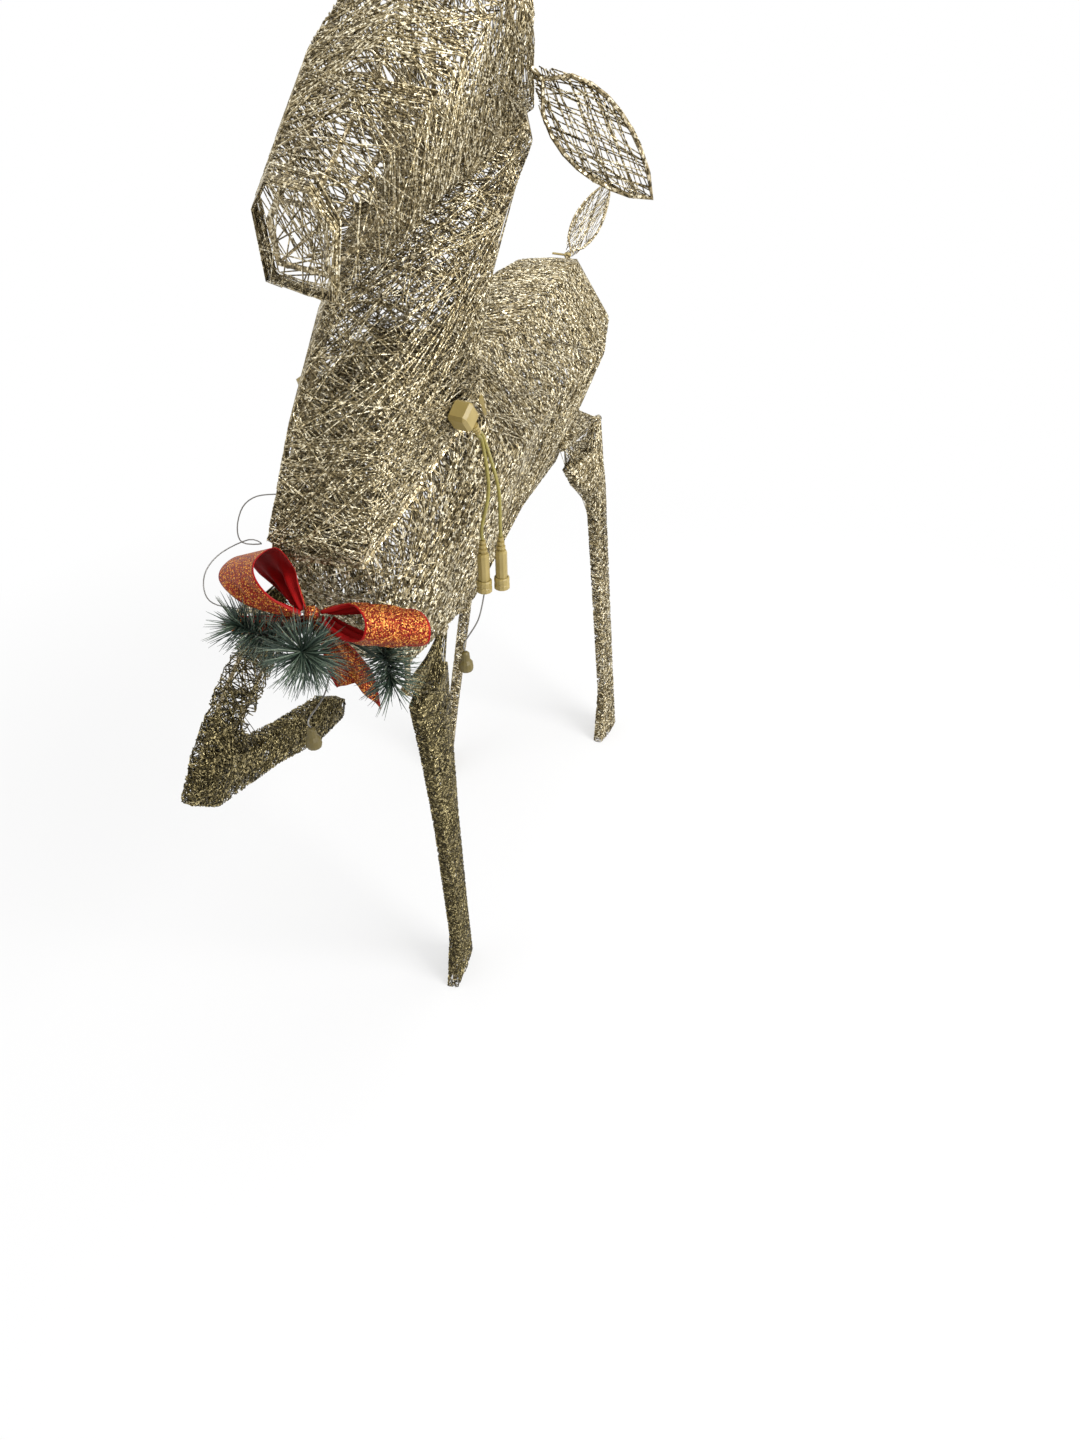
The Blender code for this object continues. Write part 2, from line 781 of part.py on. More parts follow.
def leg_plans():
    """The four legs: one standing and one raised fore leg, one standing and one striding hind leg."""
    down = Vector((0, 0, -1))
    out = Vector((1, 0, 0))
    up = Vector((0, 0, 1))
    fore_rail = low_rail(SHOULDER_Y - FORE_AHEAD, 1)
    raised_rail = low_rail(SHOULDER_Y - RAISED_AHEAD, -1)
    hind_rails = [low_rail(HIP_Y + HIND_BEHIND, side) for side in (1, -1)]
    fore_left = LegPlan(
        "fore_left", 1, fore_rail, FORE_HALF_SPAN, FORE_SAG,
        FORE_SPLAY, 0.0, leg_rungs(FORE_SHAPE, FORE_SAG, FORE_SOLE),
    )
    fore_right = LegPlan(
        "fore_right", -1, raised_rail + up * RAISED_UP, RAISED_HALF_SPAN, RAISED_SAG,
        RAISED_SPLAY, RAISED_TOE_OUT, RAISED_RUNGS,
    )
    hind_left = LegPlan(
        "hind_left", 1, hind_rails[0] + up * HIND_UP, HIND_HALF_SPAN, HIND_SAG,
        HIND_SPLAY, HIND_TOE_OUT, leg_rungs(HIND_SHAPE, HIND_SAG, HIND_SOLE),
    )
    hind_right = LegPlan(
        "hind_right", -1, hind_rails[1] + up * HIND_UP, HIND_HALF_SPAN, HIND_SAG,
        STEP_SPLAY, HIND_TOE_OUT, leg_rungs(STEP_SHAPE, HIND_SAG, STEP_SOLE),
    )
    return (
        seated(fore_left, down, FORE_CLEAR),
        seated(fore_right, -out, RAISED_CLEAR),
        seated(hind_left, out, HIND_CLEAR),
        seated(hind_right, -out, HIND_CLEAR),
    )


def rung_ends(plan, rung, lift):
    """A rung's two ends in the leg's plane, a sole's rung being level and this high."""
    front, rear = rung.front, rung.rear
    if front[1] is None:
        down = plan.sole_down(lift)
        front, rear = (front[0], down), (rear[0], down)
    return Vector(front), Vector(rear)


def rung_section(plan, rung):
    """The six corners of a rung's own wire and of the ridge the thread makes over its middle."""
    sole = rung.front[1] is None
    front, rear = rung_ends(plan, rung, RIM_TO_THREAD)
    out = (front - rear).normalized()
    front = front + out * (ROD / 2)
    rear = rear + (Vector(rung.rear_out) if rung.rear_out else -out) * (ROD / 2)
    middle = (front + rear) / 2
    across = plan.out_way() if sole else plan.face_way()
    points = []
    for end, height in ((front, ROD / 2), (middle, ROD / 2 + rung.ridge), (rear, ROD / 2)):
        points.append(plan.place(end.x, end.y) + across * height)
    for end, height in ((rear, ROD / 2), (middle, ROD / 2 + rung.ridge), (front, ROD / 2)):
        points.append(plan.place(end.x, end.y) - across * height)
    return points


def leg_sections(plan):
    """The thread's outer corners down a leg, its sole flat on the floor."""
    sections = grown([rung_section(plan, rung) for rung in plan.rungs], RIM_TO_THREAD, False, True)
    if plan.rungs[-1].front[1] is None:
        sections[-1] = [Vector((point.x, point.y, 0.0)) for point in sections[-1]]
    return sections


def ladder_mesh(plan):
    """The flat ladder of a leg's frame as faces between its rungs."""
    mesh = bpy.data.meshes.new("ladder")
    shape = bmesh.new()
    ends = [rung_ends(plan, rung, COVER) for rung in plan.rungs]
    made = {}

    def vertex(end):
        key = (round(end.x, 6), round(end.y, 6))
        if key not in made:
            made[key] = shape.verts.new(plan.place(end.x, end.y))
        return made[key]

    for (front_a, rear_a), (front_b, rear_b) in zip(ends, ends[1:]):
        corners = [vertex(front_a), vertex(rear_a), vertex(rear_b), vertex(front_b)]
        shape.faces.new(list(dict.fromkeys(corners)))
    bmesh.ops.recalc_face_normals(shape, faces=shape.faces)
    shape.to_mesh(mesh)
    shape.free()
    return mesh


def arc_points(plan):
    """The arc of wire a leg hangs on, with a straight pin at each end."""
    pin_end = plan.half_span + ROD / 2 + FIT + SLEEVE_LENGTH + PIN_BEYOND
    depth = plan.sag + ROD / 2
    points = [plan.place(-pin_end, 0.0)]
    for k in range(11):
        angle = math.pi * k / 10
        points.append(plan.place(-plan.half_span * math.cos(angle), depth * math.sin(angle)))
    points.append(plan.place(pin_end, 0.0))
    return points


def make_leg(plan):
    """A leg's frame, thread, lights and the two sleeves it turns in."""
    frame = node(f"leg_{plan.name}_frame", ladder_mesh(plan), "frame_wire")
    rods_on(frame, ROD)
    arc = helper(f"arc_{plan.name}", tube_mesh(arc_points(plan), ROD / 2, 1))
    combine(frame, arc, "UNION")
    thread = thread_skin(f"leg_{plan.name}_thread", leg_sections(plan), (), 1, 1, cap_last=True)
    lights = leg_lights(plan)
    joint_empty(f"axis_leg_{plan.name}", plan.hinge(), [frame, thread, lights])
    for end, word in ((-1, "front"), (1, "rear")):
        hip_sleeve(plan, end, word)


def hip_sleeve(plan, end, word):
    """A sleeve on the body that takes one end of a leg's arc of wire."""
    start = plan.half_span + ROD / 2 + FIT
    near = plan.place(end * start, 0.0)
    far = plan.place(end * (start + SLEEVE_LENGTH), 0.0)
    tube = rod_mesh(near, far, SLEEVE_RADIUS, 12)
    sleeve = node(f"hip_sleeve_{plan.name}_{word}", tube, "tan_plastic")
    middle = near.lerp(far, 0.5)
    skin, outward, _, _ = BODY_SKIN.find_nearest(middle)
    inside = skin - outward * STUB
    stub = helper(f"stub_{plan.name}_{word}", rod_mesh(middle, inside, STUB / 2, 8))
    combine(sleeve, stub, "UNION")
    beyond = (far - near).normalized() * SLEEVE_WALL
    hole = rod_mesh(near - beyond, far + beyond, SLEEVE_BORE, 12)
    combine(sleeve, helper(f"bore_{plan.name}_{word}", hole), "DIFFERENCE")
    combine(sleeve, BODY_SPACE, "DIFFERENCE")


# Lights


def lamp_string(name, route):
    """A light wire along the route with a lamp at the middle of every second leg of it."""
    points, radii = [], []
    swell = LAMP_WIDTH / LAMP_WIRE
    for index, (a, b) in enumerate(zip(route, route[1:])):
        points.append(a)
        radii.append(1.0)
        if index % 2:
            continue
        way = (b - a).normalized()
        middle = a.lerp(b, 0.5)
        for along, width in ((-0.75, 1.0), (-0.5, 0.9 * swell), (0.35, swell), (0.6, 1.0)):
            points.append(middle + way * (along * LAMP_LENGTH))
            radii.append(width)
    points.append(route[-1])
    radii.append(1.0)
    return node(name, tube_mesh(points, LAMP_WIRE / 2, 1, radii=radii), "light_string")


def section_lights(name, rings, lamps, first, last):
    """A light string that zigzags through a section of the body."""
    route = []
    steps = 2 * lamps
    for k in range(steps):
        share = first + (last - first) * k / (steps - 1)
        middle, side, up, half = at_length(rings, share)
        sway = (1, 1, -1, -1)[k % 4]
        rise = (1, -1, -1, 1)[k % 4]
        route.append(middle + side * (sway * half * 0.6) + up * (rise * 0.22 + 0.05))
    return lamp_string(name, route)


def leg_lights(plan):
    """A light string down the middle of a leg's longest bay, between its two rails."""
    mids = [sum(rung_ends(plan, rung, COVER), Vector((0, 0))) / 2 for rung in plan.rungs]
    start, end = max(zip(mids[:-1], mids[1:-1]), key=lambda bay: (bay[1] - bay[0]).length)
    steps = 2 * LEG_LAMPS
    shares = [0.08 + 0.84 * k / (steps - 1) for k in range(steps)]
    return lamp_string(f"leg_{plan.name}_lights", [plan.place(*start.lerp(end, t)) for t in shares])


# Ears, tail and antlers


def leaf_outline(length, width, count):
    """Half outline of a leaf as (along, half width) pairs."""
    rows = []
    for k in range(count + 1):
        share = k / count
        rows.append((length * share, width / 2 * math.sin(math.pi * share**0.8) ** 0.75))
    return rows


def leaf_frame(base, tip_way, face_way):
    """A frame at a leaf's base: X to its tip and Z out of its face."""
    z = Vector(face_way).normalized()
    x = (Vector(tip_way) - z * Vector(tip_way).dot(z)).normalized()
    return Matrix.Translation(Vector(base)) @ Matrix((x, z.cross(x), z)).transposed().to_4x4()


def leaf(name, frame, length, width, spaces):
    """A leaf-shaped wire loop on a stem, and the open net stretched in it."""
    rows = leaf_outline(length, width, 8)
    left = [frame @ Vector((a, w, 0)) for a, w in rows]
    right = [frame @ Vector((a, -w, 0)) for a, w in rows[1:-1]]
    loop = node(f"{name}_frame", tube_mesh(left + right[::-1], LEAF_ROD / 2, 1, True), "frame_wire")
    stem_ends = [frame @ Vector((along, 0, 0)) for along in (-LEAF_STEM, LEAF_ROD / 2)]
    combine(loop, helper(f"{name}_stem", rod_mesh(*stem_ends, LEAF_ROD / 2, 8)), "UNION")
    for space in spaces:
        combine(loop, space, "DIFFERENCE")
    inset = LEAF_ROD / 2 + FIT
    shape = bmesh.new()
    grid = []
    for a, w in leaf_outline(length, width, 8)[1:-1]:
        half = w - inset - NET_THREAD
        grid.append([shape.verts.new(frame @ Vector((a, half * s, 0))) for s in (-1, 0, 1)])
    for i, (low, high) in enumerate(zip(grid, grid[1:])):
        for c in (0, 1):
            corners = (low[c], low[c + 1], high[c + 1], high[c])
            turn = (i + c) % 2
            for tri in ((0, 1, 2), (0, 2, 3)):
                shape.faces.new([corners[(t + turn) % 4] for t in tri])
    bmesh.ops.recalc_face_normals(shape, faces=shape.faces)
    net = node(f"{name}_net", finished("net", shape), "glitter_thread")
    rods_on(net, NET_THREAD)
    return [loop, net]


def make_ears():
    """Both ears, mirrored about the head's own middle plane."""
    middle, side, up, _ = at_length(HEAD_RINGS, 0.10)
    ahead = side.cross(Vector((0, 0, 1)))
    pieces = []
    for sign, word in ((1, "left"), (-1, "right")):
        base = middle + side * (sign * EAR_OUT) + up * 0.18
        tip_way = side * (sign * 0.82) - Vector((0, 0, 0.57))
        face_way = side * (sign * 0.54) + ahead * 0.84 + Vector((0, 0, 0.09))
        frame = leaf_frame(base, tip_way, face_way)
        pieces += leaf(f"ear_{word}", frame, EAR_LENGTH, EAR_WIDTH, (HEAD_SPACE, NECK_SPACE))
    return pieces


def make_tail():
    """The tail leaf and the cable tie round its stem."""
    tip_way = Vector((0.34, 0.66, 0.66)).normalized()
    face_way = Vector((0.45, -0.55, 0.60))
    root = Vector(TAIL_ROOT.top) + Vector((0, COVER, 0)) + tip_way * TAIL_CLEAR
    frame = leaf_frame(root, tip_way, face_way)
    leaf("tail", frame, TAIL_LENGTH, TAIL_WIDTH, (BODY_SPACE,))
    along = frame.to_3x3().col[0]
    start = root - along * (TAIL_CLEAR / 2)
    bore = LEAF_ROD / 2 + FIT
    reach = bore + TIE_THICK
    tie = node("tail_cable_tie", rod_mesh(start, start + along * TIE_WIDTH, reach, 12), "tan_plastic")
    lock = frame_along(start + along * (TIE_WIDTH / 2), along)
    head = box_mesh(lock @ Matrix.Translation((reach, 0, 0)), (TIE_WIDTH, TIE_HEAD, TIE_HEAD))
    combine(tie, helper("tie_head", head), "UNION")
    strip = lock @ Matrix.Translation((reach + TIE_END / 2, 0, 0))
    combine(tie, helper("tie_end", box_mesh(strip, (TIE_END, TIE_THICK, TIE_WIDTH * 0.7))), "UNION")
    drill = rod_mesh(start - along * TIE_WIDTH, start + along * (2 * TIE_WIDTH), bore, 12)
    combine(tie, helper("tie_bore", drill), "DIFFERENCE")


def antler_mesh(base, side, ahead, sign):
    """One antler as a branching rod: a beam and three tines."""
    out = side * sign
    back = -ahead
    up = Vector((0, 0, 1))

    def place(share_out, share_back, share_up):
        level = out * (share_out * ANTLER_SPREAD) + back * (share_back * ANTLER_REACH)
        return base + level + up * (share_up * ANTLER_REACH)

    beam = ((0.0, 0.0, 0.0), (0.10, 0.06, 0.16), (0.42, 0.14, 0.46), (0.78, 0.10, 0.78), (0.86, -0.10, 1.0))
    tines = {1: (0.16, -0.34, 0.30), 2: (0.40, -0.22, 0.78), 3: (1.06, 0.16, 1.02)}
    verts = [place(*shares) for shares in beam]
    edges = [(i, i + 1) for i in range(len(beam) - 1)]
    for root, shares in tines.items():
        edges.append((root, len(verts)))
        verts.append(place(*shares))
    mesh = bpy.data.meshes.new("antler")
    mesh.from_pydata(verts, edges, [])
    return mesh


def make_antlers():
    """Both antlers, standing on the crown of the head."""
    middle, side, up, _ = at_length(HEAD_RINGS, 0.36)
    ahead = side.cross(Vector((0, 0, 1)))
    made = []
    for sign, word in ((1, "left"), (-1, "right")):
        base = middle + side * (sign * 0.024) + up * 0.47
        obj = node(f"antler_{word}", antler_mesh(base, side, ahead, sign), "glitter_thread")
        skin = obj.modifiers.new("rod", "SKIN")
        skin.use_smooth_shade = False
        layer = obj.data.skin_vertices.new() if not obj.data.skin_vertices else obj.data.skin_vertices[0]
        for i, vertex in enumerate(layer.data):
            tip = i >= 4
            vertex.radius = (ANTLER_ROD * (0.6 if tip else 1.0),) * 2
            vertex.use_root = i == 0
        combine(obj, HEAD_SPACE, "DIFFERENCE")
        made.append(obj)
    return made


# Leads


def facet_place(rings, share, corner, part, lift):
    """A frame standing on one facet of a wound section, its Z pointing away from the thread."""
    sections = grown([ring.points() for ring in rings], COVER)
    place = share * (len(rings) - 1)
    first, second = sections[int(place)], sections[int(place) + 1]
    along = place - int(place)
    a = first[corner].lerp(second[corner], along)
    b = first[corner + 1].lerp(second[corner + 1], along)
    normal = (second[corner] - first[corner]).cross(b - a).normalized()
    if normal.dot(a - rings[0].middle()) < 0:
        normal = -normal
    return frame_along(a.lerp(b, part) + normal * lift, normal)


def ribbed(width, length, ribs):
    """Profile of a ribbed strain relief, thin end first."""
    rows = []
    pitch = length / ribs
    for k in range(ribs):
        rib = width / 2 * (0.70 + 0.30 * k / (ribs - 1))
        groove = 0.72 * rib
        start = pitch * k
        rows += [(rib, start), (rib, start + 0.60 * pitch)]
        rows += [(groove, start + 0.61 * pitch), (groove, start + 0.99 * pitch)]
    return rows


CONNECTOR_LENGTH = RELIEF_LENGTH + LEAD_LENGTH + COLLAR_LENGTH + 2 * FIT


def lead(name, top, way):
    """A lead connector: ribbed relief, body and nozzle in one, with a collar that turns on the nozzle."""
    relief = ribbed(LEAD_WIDTH * 0.75, RELIEF_LENGTH, 3)
    shoulder = RELIEF_LENGTH + LEAD_LENGTH
    bore = COLLAR_WIDTH / 2 - COLLAR_WALL
    nozzle = bore - FIT
    profile = relief + [
        (LEAD_WIDTH / 2 * 0.85, RELIEF_LENGTH),
        (LEAD_WIDTH / 2, RELIEF_LENGTH + 0.1 * LEAD_LENGTH),
        (LEAD_WIDTH / 2, shoulder),
        (nozzle, shoulder),
        (nozzle, shoulder + COLLAR_LENGTH + FIT),
    ]
    body = node(f"{name}_body", turned_mesh(profile, top, way, 10), "tan_plastic")
    start = shoulder + FIT
    half = COLLAR_WIDTH / 2
    ring = [
        (half * 0.90, start), (half, start + 0.12 * COLLAR_LENGTH),
        (half, start + 0.40 * COLLAR_LENGTH), (half * 0.92, start + 0.45 * COLLAR_LENGTH),
        (half * 0.92, start + 0.60 * COLLAR_LENGTH), (half, start + 0.65 * COLLAR_LENGTH),
        (half, start + COLLAR_LENGTH),
    ]
    collar = node(f"{name}_collar", turned_mesh(ring, top, way, 12), "tan_plastic")
    hole = [(bore, shoulder - FIT), (bore, start + 2 * COLLAR_LENGTH)]
    combine(collar, helper(f"{name}_hole", turned_mesh(hole, top, way, 12)), "DIFFERENCE")
    axis = joint_empty(f"axis_{name}_collar", Vector(top) + Vector(way) * start, [collar])
    return [body, axis]


def end_cap(name, top, way):
    """A bell-shaped end cap."""
    half = CAP_WIDTH / 2
    profile = [
        (half * 0.30, 0.0), (half * 0.55, 0.08 * CAP_LENGTH), (half * 0.62, 0.42 * CAP_LENGTH),
        (half * 0.92, 0.58 * CAP_LENGTH), (half, 0.86 * CAP_LENGTH), (half * 0.90, CAP_LENGTH),
    ]
    return node(name, turned_mesh(profile, top, way, 12), "tan_plastic")


def smooth_route(points, per_leg=4):
    """Points along a smooth curve through the route points."""
    pts = [Vector(p) for p in points]
    pts = [2 * pts[0] - pts[1], *pts, 2 * pts[-1] - pts[-2]]
    out = []
    for p0, p1, p2, p3 in zip(pts, pts[1:], pts[2:], pts[3:]):
        for k in range(per_leg):
            t = k / per_leg
            a, b = 2 * p1, (p2 - p0) * t
            c = (2 * p0 - 5 * p1 + 4 * p2 - p3) * t**2
            d = (3 * p1 - p0 - 3 * p2 + p3) * t**3
            out.append((a + b + c + d) / 2)
    out.append(pts[-2])
    return out


def make_leads():
    """The junction box on the neck's left side with its two hanging leads and an end cap."""
    down = Vector((0, 0, -1))
    turn = Matrix.Rotation(-math.radians(BOX_TURN), 4, "Z")
    stand = facet_place(NECK_RINGS, 0.115, 1, 0.26, BOX_SIDE / 2) @ turn
    leave, beside, out = stand.to_3x3().col
    box = node("junction_box", box_mesh(stand, (BOX_SIDE, BOX_SIDE, BOX_SIDE)), "tan_plastic")
    bevelled(box, BOX_EDGE)
    combine(box, NECK_SPACE, "DIFFERENCE")
    combine(box, BODY_SPACE, "DIFFERENCE")
    relief_top = stand.translation + out * RELIEF_PROUD + leave * (BOX_SIDE / 2 + FIT)
    profile = [(r, RELIEF_LENGTH - z) for r, z in reversed(ribbed(RELIEF_WIDTH, RELIEF_LENGTH, 3))]
    relief = node("junction_box_relief", turned_mesh(profile, relief_top, leave, 10), "tan_plastic")
    pieces = [box, relief]
    cord_top = relief_top + leave * (RELIEF_LENGTH + FIT)
    for name, hang, sign in (("lead_1", LEAD_1_HANG, -1), ("lead_2", LEAD_2_HANG, 1)):
        top = stand.translation + Vector(hang)
        start = cord_top + beside * (sign * (CORD + CORD_GAP) / 2)
        end = top - down * FIT
        run_out = start + leave * CORD_RUN_OUT
        middle = run_out.lerp(end, 0.45) + out * (CORD_RUN_OUT / 2)
        route = smooth_route([start, run_out, middle, end - down * CORD_RUN_OUT, end])
        cord = node(f"{name}_cord", tube_mesh(route, CORD / 2, 2), "gold_cord")
        pieces += [cord, *lead(name, top, down)]
    lead_top = stand.translation + Vector(LEAD_1_HANG)
    lead_end = lead_top + down * CONNECTOR_LENGTH
    cap_top = lead_top + Vector(CAP_1_HANG)
    tether_middle = lead_end.lerp(cap_top, 0.45) + out * (2 * TETHER)
    pieces += hung_cap("cap_1", [lead_end + down * FIT, tether_middle], cap_top)
    return pieces


def hung_cap(name, route, top):
    """An end cap on its thin tether, which comes along the route and down into the cap."""
    up = Vector((0, 0, 1))
    ends = [top + up * (CAP_LENGTH / 2), top + up * FIT]
    tether = tube_mesh(smooth_route([*route, *ends]), TETHER / 2, 2)
    return [node(f"{name}_tether", tether, "grey_wire"), end_cap(name, top, -up)]


def make_chest_cap(knot_at):
    """The end cap that hangs under the bow on a tether out of the chest."""
    top = knot_at + Vector(CAP_2_HANG)
    skin, outward, _, _ = BODY_SKIN.find_nearest(knot_at + Vector(CAP_2_ROOT))
    root = skin + outward * TETHER
    slack = root.lerp(top, 0.5) - Vector((0, 0, CAP_2_SLACK / 2))
    hung_cap("cap_2", [root, slack], top)


def make_seam_clips():
    """The small tie clips that hold the neck section down across the seam."""
    clips = []
    body_end = grown([ring.points() for ring in BODY_RINGS], LAID_ON, True, True)[-1]
    neck_end = grown([ring.points() for ring in NECK_RINGS], LAID_ON, True, True)[0]
    for corner, word in ((1, "left"), (4, "right")):
        edge = SEAM.points()[corner]
        out = (edge - SEAM.middle()).normalized()
        reach = max((end[corner] - edge).dot(out) for end in (body_end, neck_end))
        middle = edge + out * reach + SEAM.up_way() * (SEAM_GAP / 2)
        frame = frame_along(middle, out, SEAM.up_way())
        block = box_mesh(frame, (CLIP_WIDTH, CLIP_REACH, CLIP_THICK * 2))
        clip = node(f"seam_clip_{word}", block, "tan_plastic")
        combine(clip, BODY_SPACE, "DIFFERENCE")
        combine(clip, NECK_SPACE, "DIFFERENCE")
        clips.append(clip)
    return clips


# Bow


def bow_face(knot_at):
    """The bow's own frame: along its face, up it and out of it."""
    turn = Matrix.Rotation(math.radians(BOW_TURN), 4, "Z")
    lean = Matrix.Rotation(math.radians(BOW_LEAN), 4, "X")
    return Matrix.Translation(knot_at) @ turn @ lean


def ribbon(name, rows):
    """A strip of ribbon through rows of points across it."""
    shape = bmesh.new()
    grid = [[shape.verts.new(point) for point in row] for row in rows]
    for a, b in zip(grid, grid[1:]):
        for k in range(len(a) - 1):
            shape.faces.new((a[k], a[k + 1], b[k + 1], b[k]))
    strip = node(name, finished(name, shape), "ribbon")
    solid = strip.modifiers.new("ribbon", "SOLIDIFY")
    solid.thickness = RIBBON_THICK
    solid.offset = 0.0


def bow_loop(word, face, way, stations):
    """A loop of ribbon, pinched at the knot and rolled round a line that leads out and back."""
    wide = Vector(way).normalized() * RIBBON_WIDTH
    places = smooth_route([place for place, _ in stations], LOOP_STEPS)
    shares = smooth_route([(share, 0, 0) for _, share in stations], LOOP_STEPS)
    rows = [(face @ place, face @ (place + wide * share.x)) for place, share in zip(places, shares)]
    ribbon(f"bow_loop_{word}", rows)


def bow_tail(word, face, edges, notch):
    """An end of ribbon that runs from the knot and opens out to its cut end."""
    near, far = (smooth_route(edge, TAIL_STEPS) for edge in zip(*edges))
    middle = [a.lerp(b, 0.5) for a, b in zip(near, far)]
    middle[-1] += (middle[-2] - middle[-1]).normalized() * notch
    ribbon(f"bow_tail_{word}", [[face @ point for point in row] for row in zip(near, middle, far)])


def make_bow(knot_at):
    """Two ribbon loops, the knot that pinches them and two tails."""
    face = bow_face(knot_at)
    knot = node("bow_knot", box_mesh(face, (KNOT_SIDE, KNOT_SIDE, KNOT_SIDE)), "ribbon")
    bevelled(knot, KNOT_EDGE)
    bow_loop("left", face, LEFT_LOOP_WAY, LEFT_LOOP)
    bow_loop("right", face, RIGHT_LOOP_WAY, RIGHT_LOOP)
    bow_tail("left", face, LEFT_TAIL, LEFT_TAIL_NOTCH)
    bow_tail("right", face, RIGHT_TAIL, RIGHT_TAIL_NOTCH)


def make_sprigs(knot_at):
    """Pine sprigs under the bow: a core with a needle out of every face."""
    face = bow_face(knot_at)
    core = Matrix.Diagonal((SPRIG_CORE, SPRIG_CORE, SPRIG_LENGTH / 2, 1.0))
    below = KNOT_SIDE / 2 + SPRIG_STEM / 2 + FIT
    for k, (offset, way, stem_place) in enumerate(SPRIGS):
        shape = bmesh.new()
        middle = face @ Vector(offset)
        frame = frame_along(middle, face.to_3x3() @ Vector(way)) @ core
        bmesh.ops.create_uvsphere(shape, u_segments=7, v_segments=6, radius=1.0, matrix=frame)
        bmesh.ops.recalc_face_normals(shape, faces=shape.faces)
        faces = list(shape.faces)
        bmesh.ops.inset_individual(shape, faces=faces, thickness=NEEDLE_SPACING, use_even_offset=True)
        bmesh.ops.poke(shape, faces=faces, offset=NEEDLE)
        sprig = node(f"pine_sprig_{k + 1}", finished("sprig", shape), "needles")
        stem = rod_mesh(middle, face @ Vector((stem_place * STEM_PITCH, -below, 0)), SPRIG_STEM / 2, 6)
        combine(sprig, helper(f"stem_{k + 1}", stem), "UNION")


def make_tie_wire(knot_at):
    """The thin wire that ties the bow to the chest, with its spare length curled beside the bow."""
    face = bow_face(knot_at)
    route = [face @ Vector(offset) for offset in TIE_WIRE_ROUTE]
    skin, outward, _, _ = BODY_SKIN.find_nearest(route[0])
    route[0] = skin + outward * TIE_WIRE
    route.append(face @ Vector((0, 0, -KNOT_SIDE / 2 - FIT)))
    node("bow_tie_wire", tube_mesh(smooth_route(route), TIE_WIRE / 2, 1), "grey_wire")


clear_scene()
PARTS = collection("yard_reindeer")
CUTTERS = collection("cutters")
FINISHES = {
    "frame_wire": material("frame_wire", (0.45, 0.38, 0.24), 0.8, 0.45),
    "glitter_thread": material("glitter_thread", (0.55, 0.46, 0.30), 0.7, 0.35),
    "tan_plastic": material("tan_plastic", (0.70, 0.58, 0.33), 0.0, 0.45),
    "light_string": material("light_string", (0.85, 0.80, 0.60), 0.0, 0.35),
    "gold_cord": material("gold_cord", (0.56, 0.50, 0.24), 0.0, 0.45),
    "grey_wire": material("grey_wire", (0.50, 0.50, 0.48), 0.0, 0.50),
    "ribbon": material("ribbon", (0.68, 0.16, 0.08), 0.1, 0.50),
    "needles": material("needles", (0.13, 0.24, 0.20), 0.0, 0.70),
}
BODY_SKIN = skin_tree(BODY_RINGS)
BODY_SPACE = envelope("body_space", BODY_RINGS)
NECK_SPACE = envelope("neck_space", NECK_RINGS)
HEAD_SPACE = envelope("head_space", HEAD_RINGS)

wire_frame("body_frame", BODY_RINGS, cap_first=True)
wound("body_thread", BODY_RINGS, cap_first=True)
section_lights("body_lights", BODY_RINGS, BODY_LAMPS, 0.12, 0.86)
for leg in leg_plans():
    make_leg(leg)
make_tail()
bow_at = Vector(SEAM.low) + Vector(BOW_KNOT)
make_bow(bow_at)
make_sprigs(bow_at)
make_tie_wire(bow_at)
make_chest_cap(bow_at)

neck_pieces = [
    wire_frame("neck_frame", NECK_RINGS),
    wound("neck_thread", NECK_RINGS),
    section_lights("neck_lights", NECK_RINGS, NECK_LAMPS, 0.08, 0.92),
    wire_frame("head_frame", HEAD_RINGS, cap_last=True, drawn_in=HEAD_DRAWN_IN),
    wound("head_thread", HEAD_RINGS, cap_last=True),
    *make_ears(),
    *make_antlers(),
    *make_leads(),
    *make_seam_clips(),
]
joint_empty("slide_neck", SEAM.middle(), neck_pieces)
centre_over_origin()
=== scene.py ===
"""Looks of a light-up yard deer: thread wound on wire frames, moulded leads, a ribbon bow and pine."""

import json
import logging
import math
from collections.abc import Iterable, Sequence
from dataclasses import dataclass, field, replace
from enum import Enum

import bpy
import numpy as np
from mathutils import Matrix, Vector

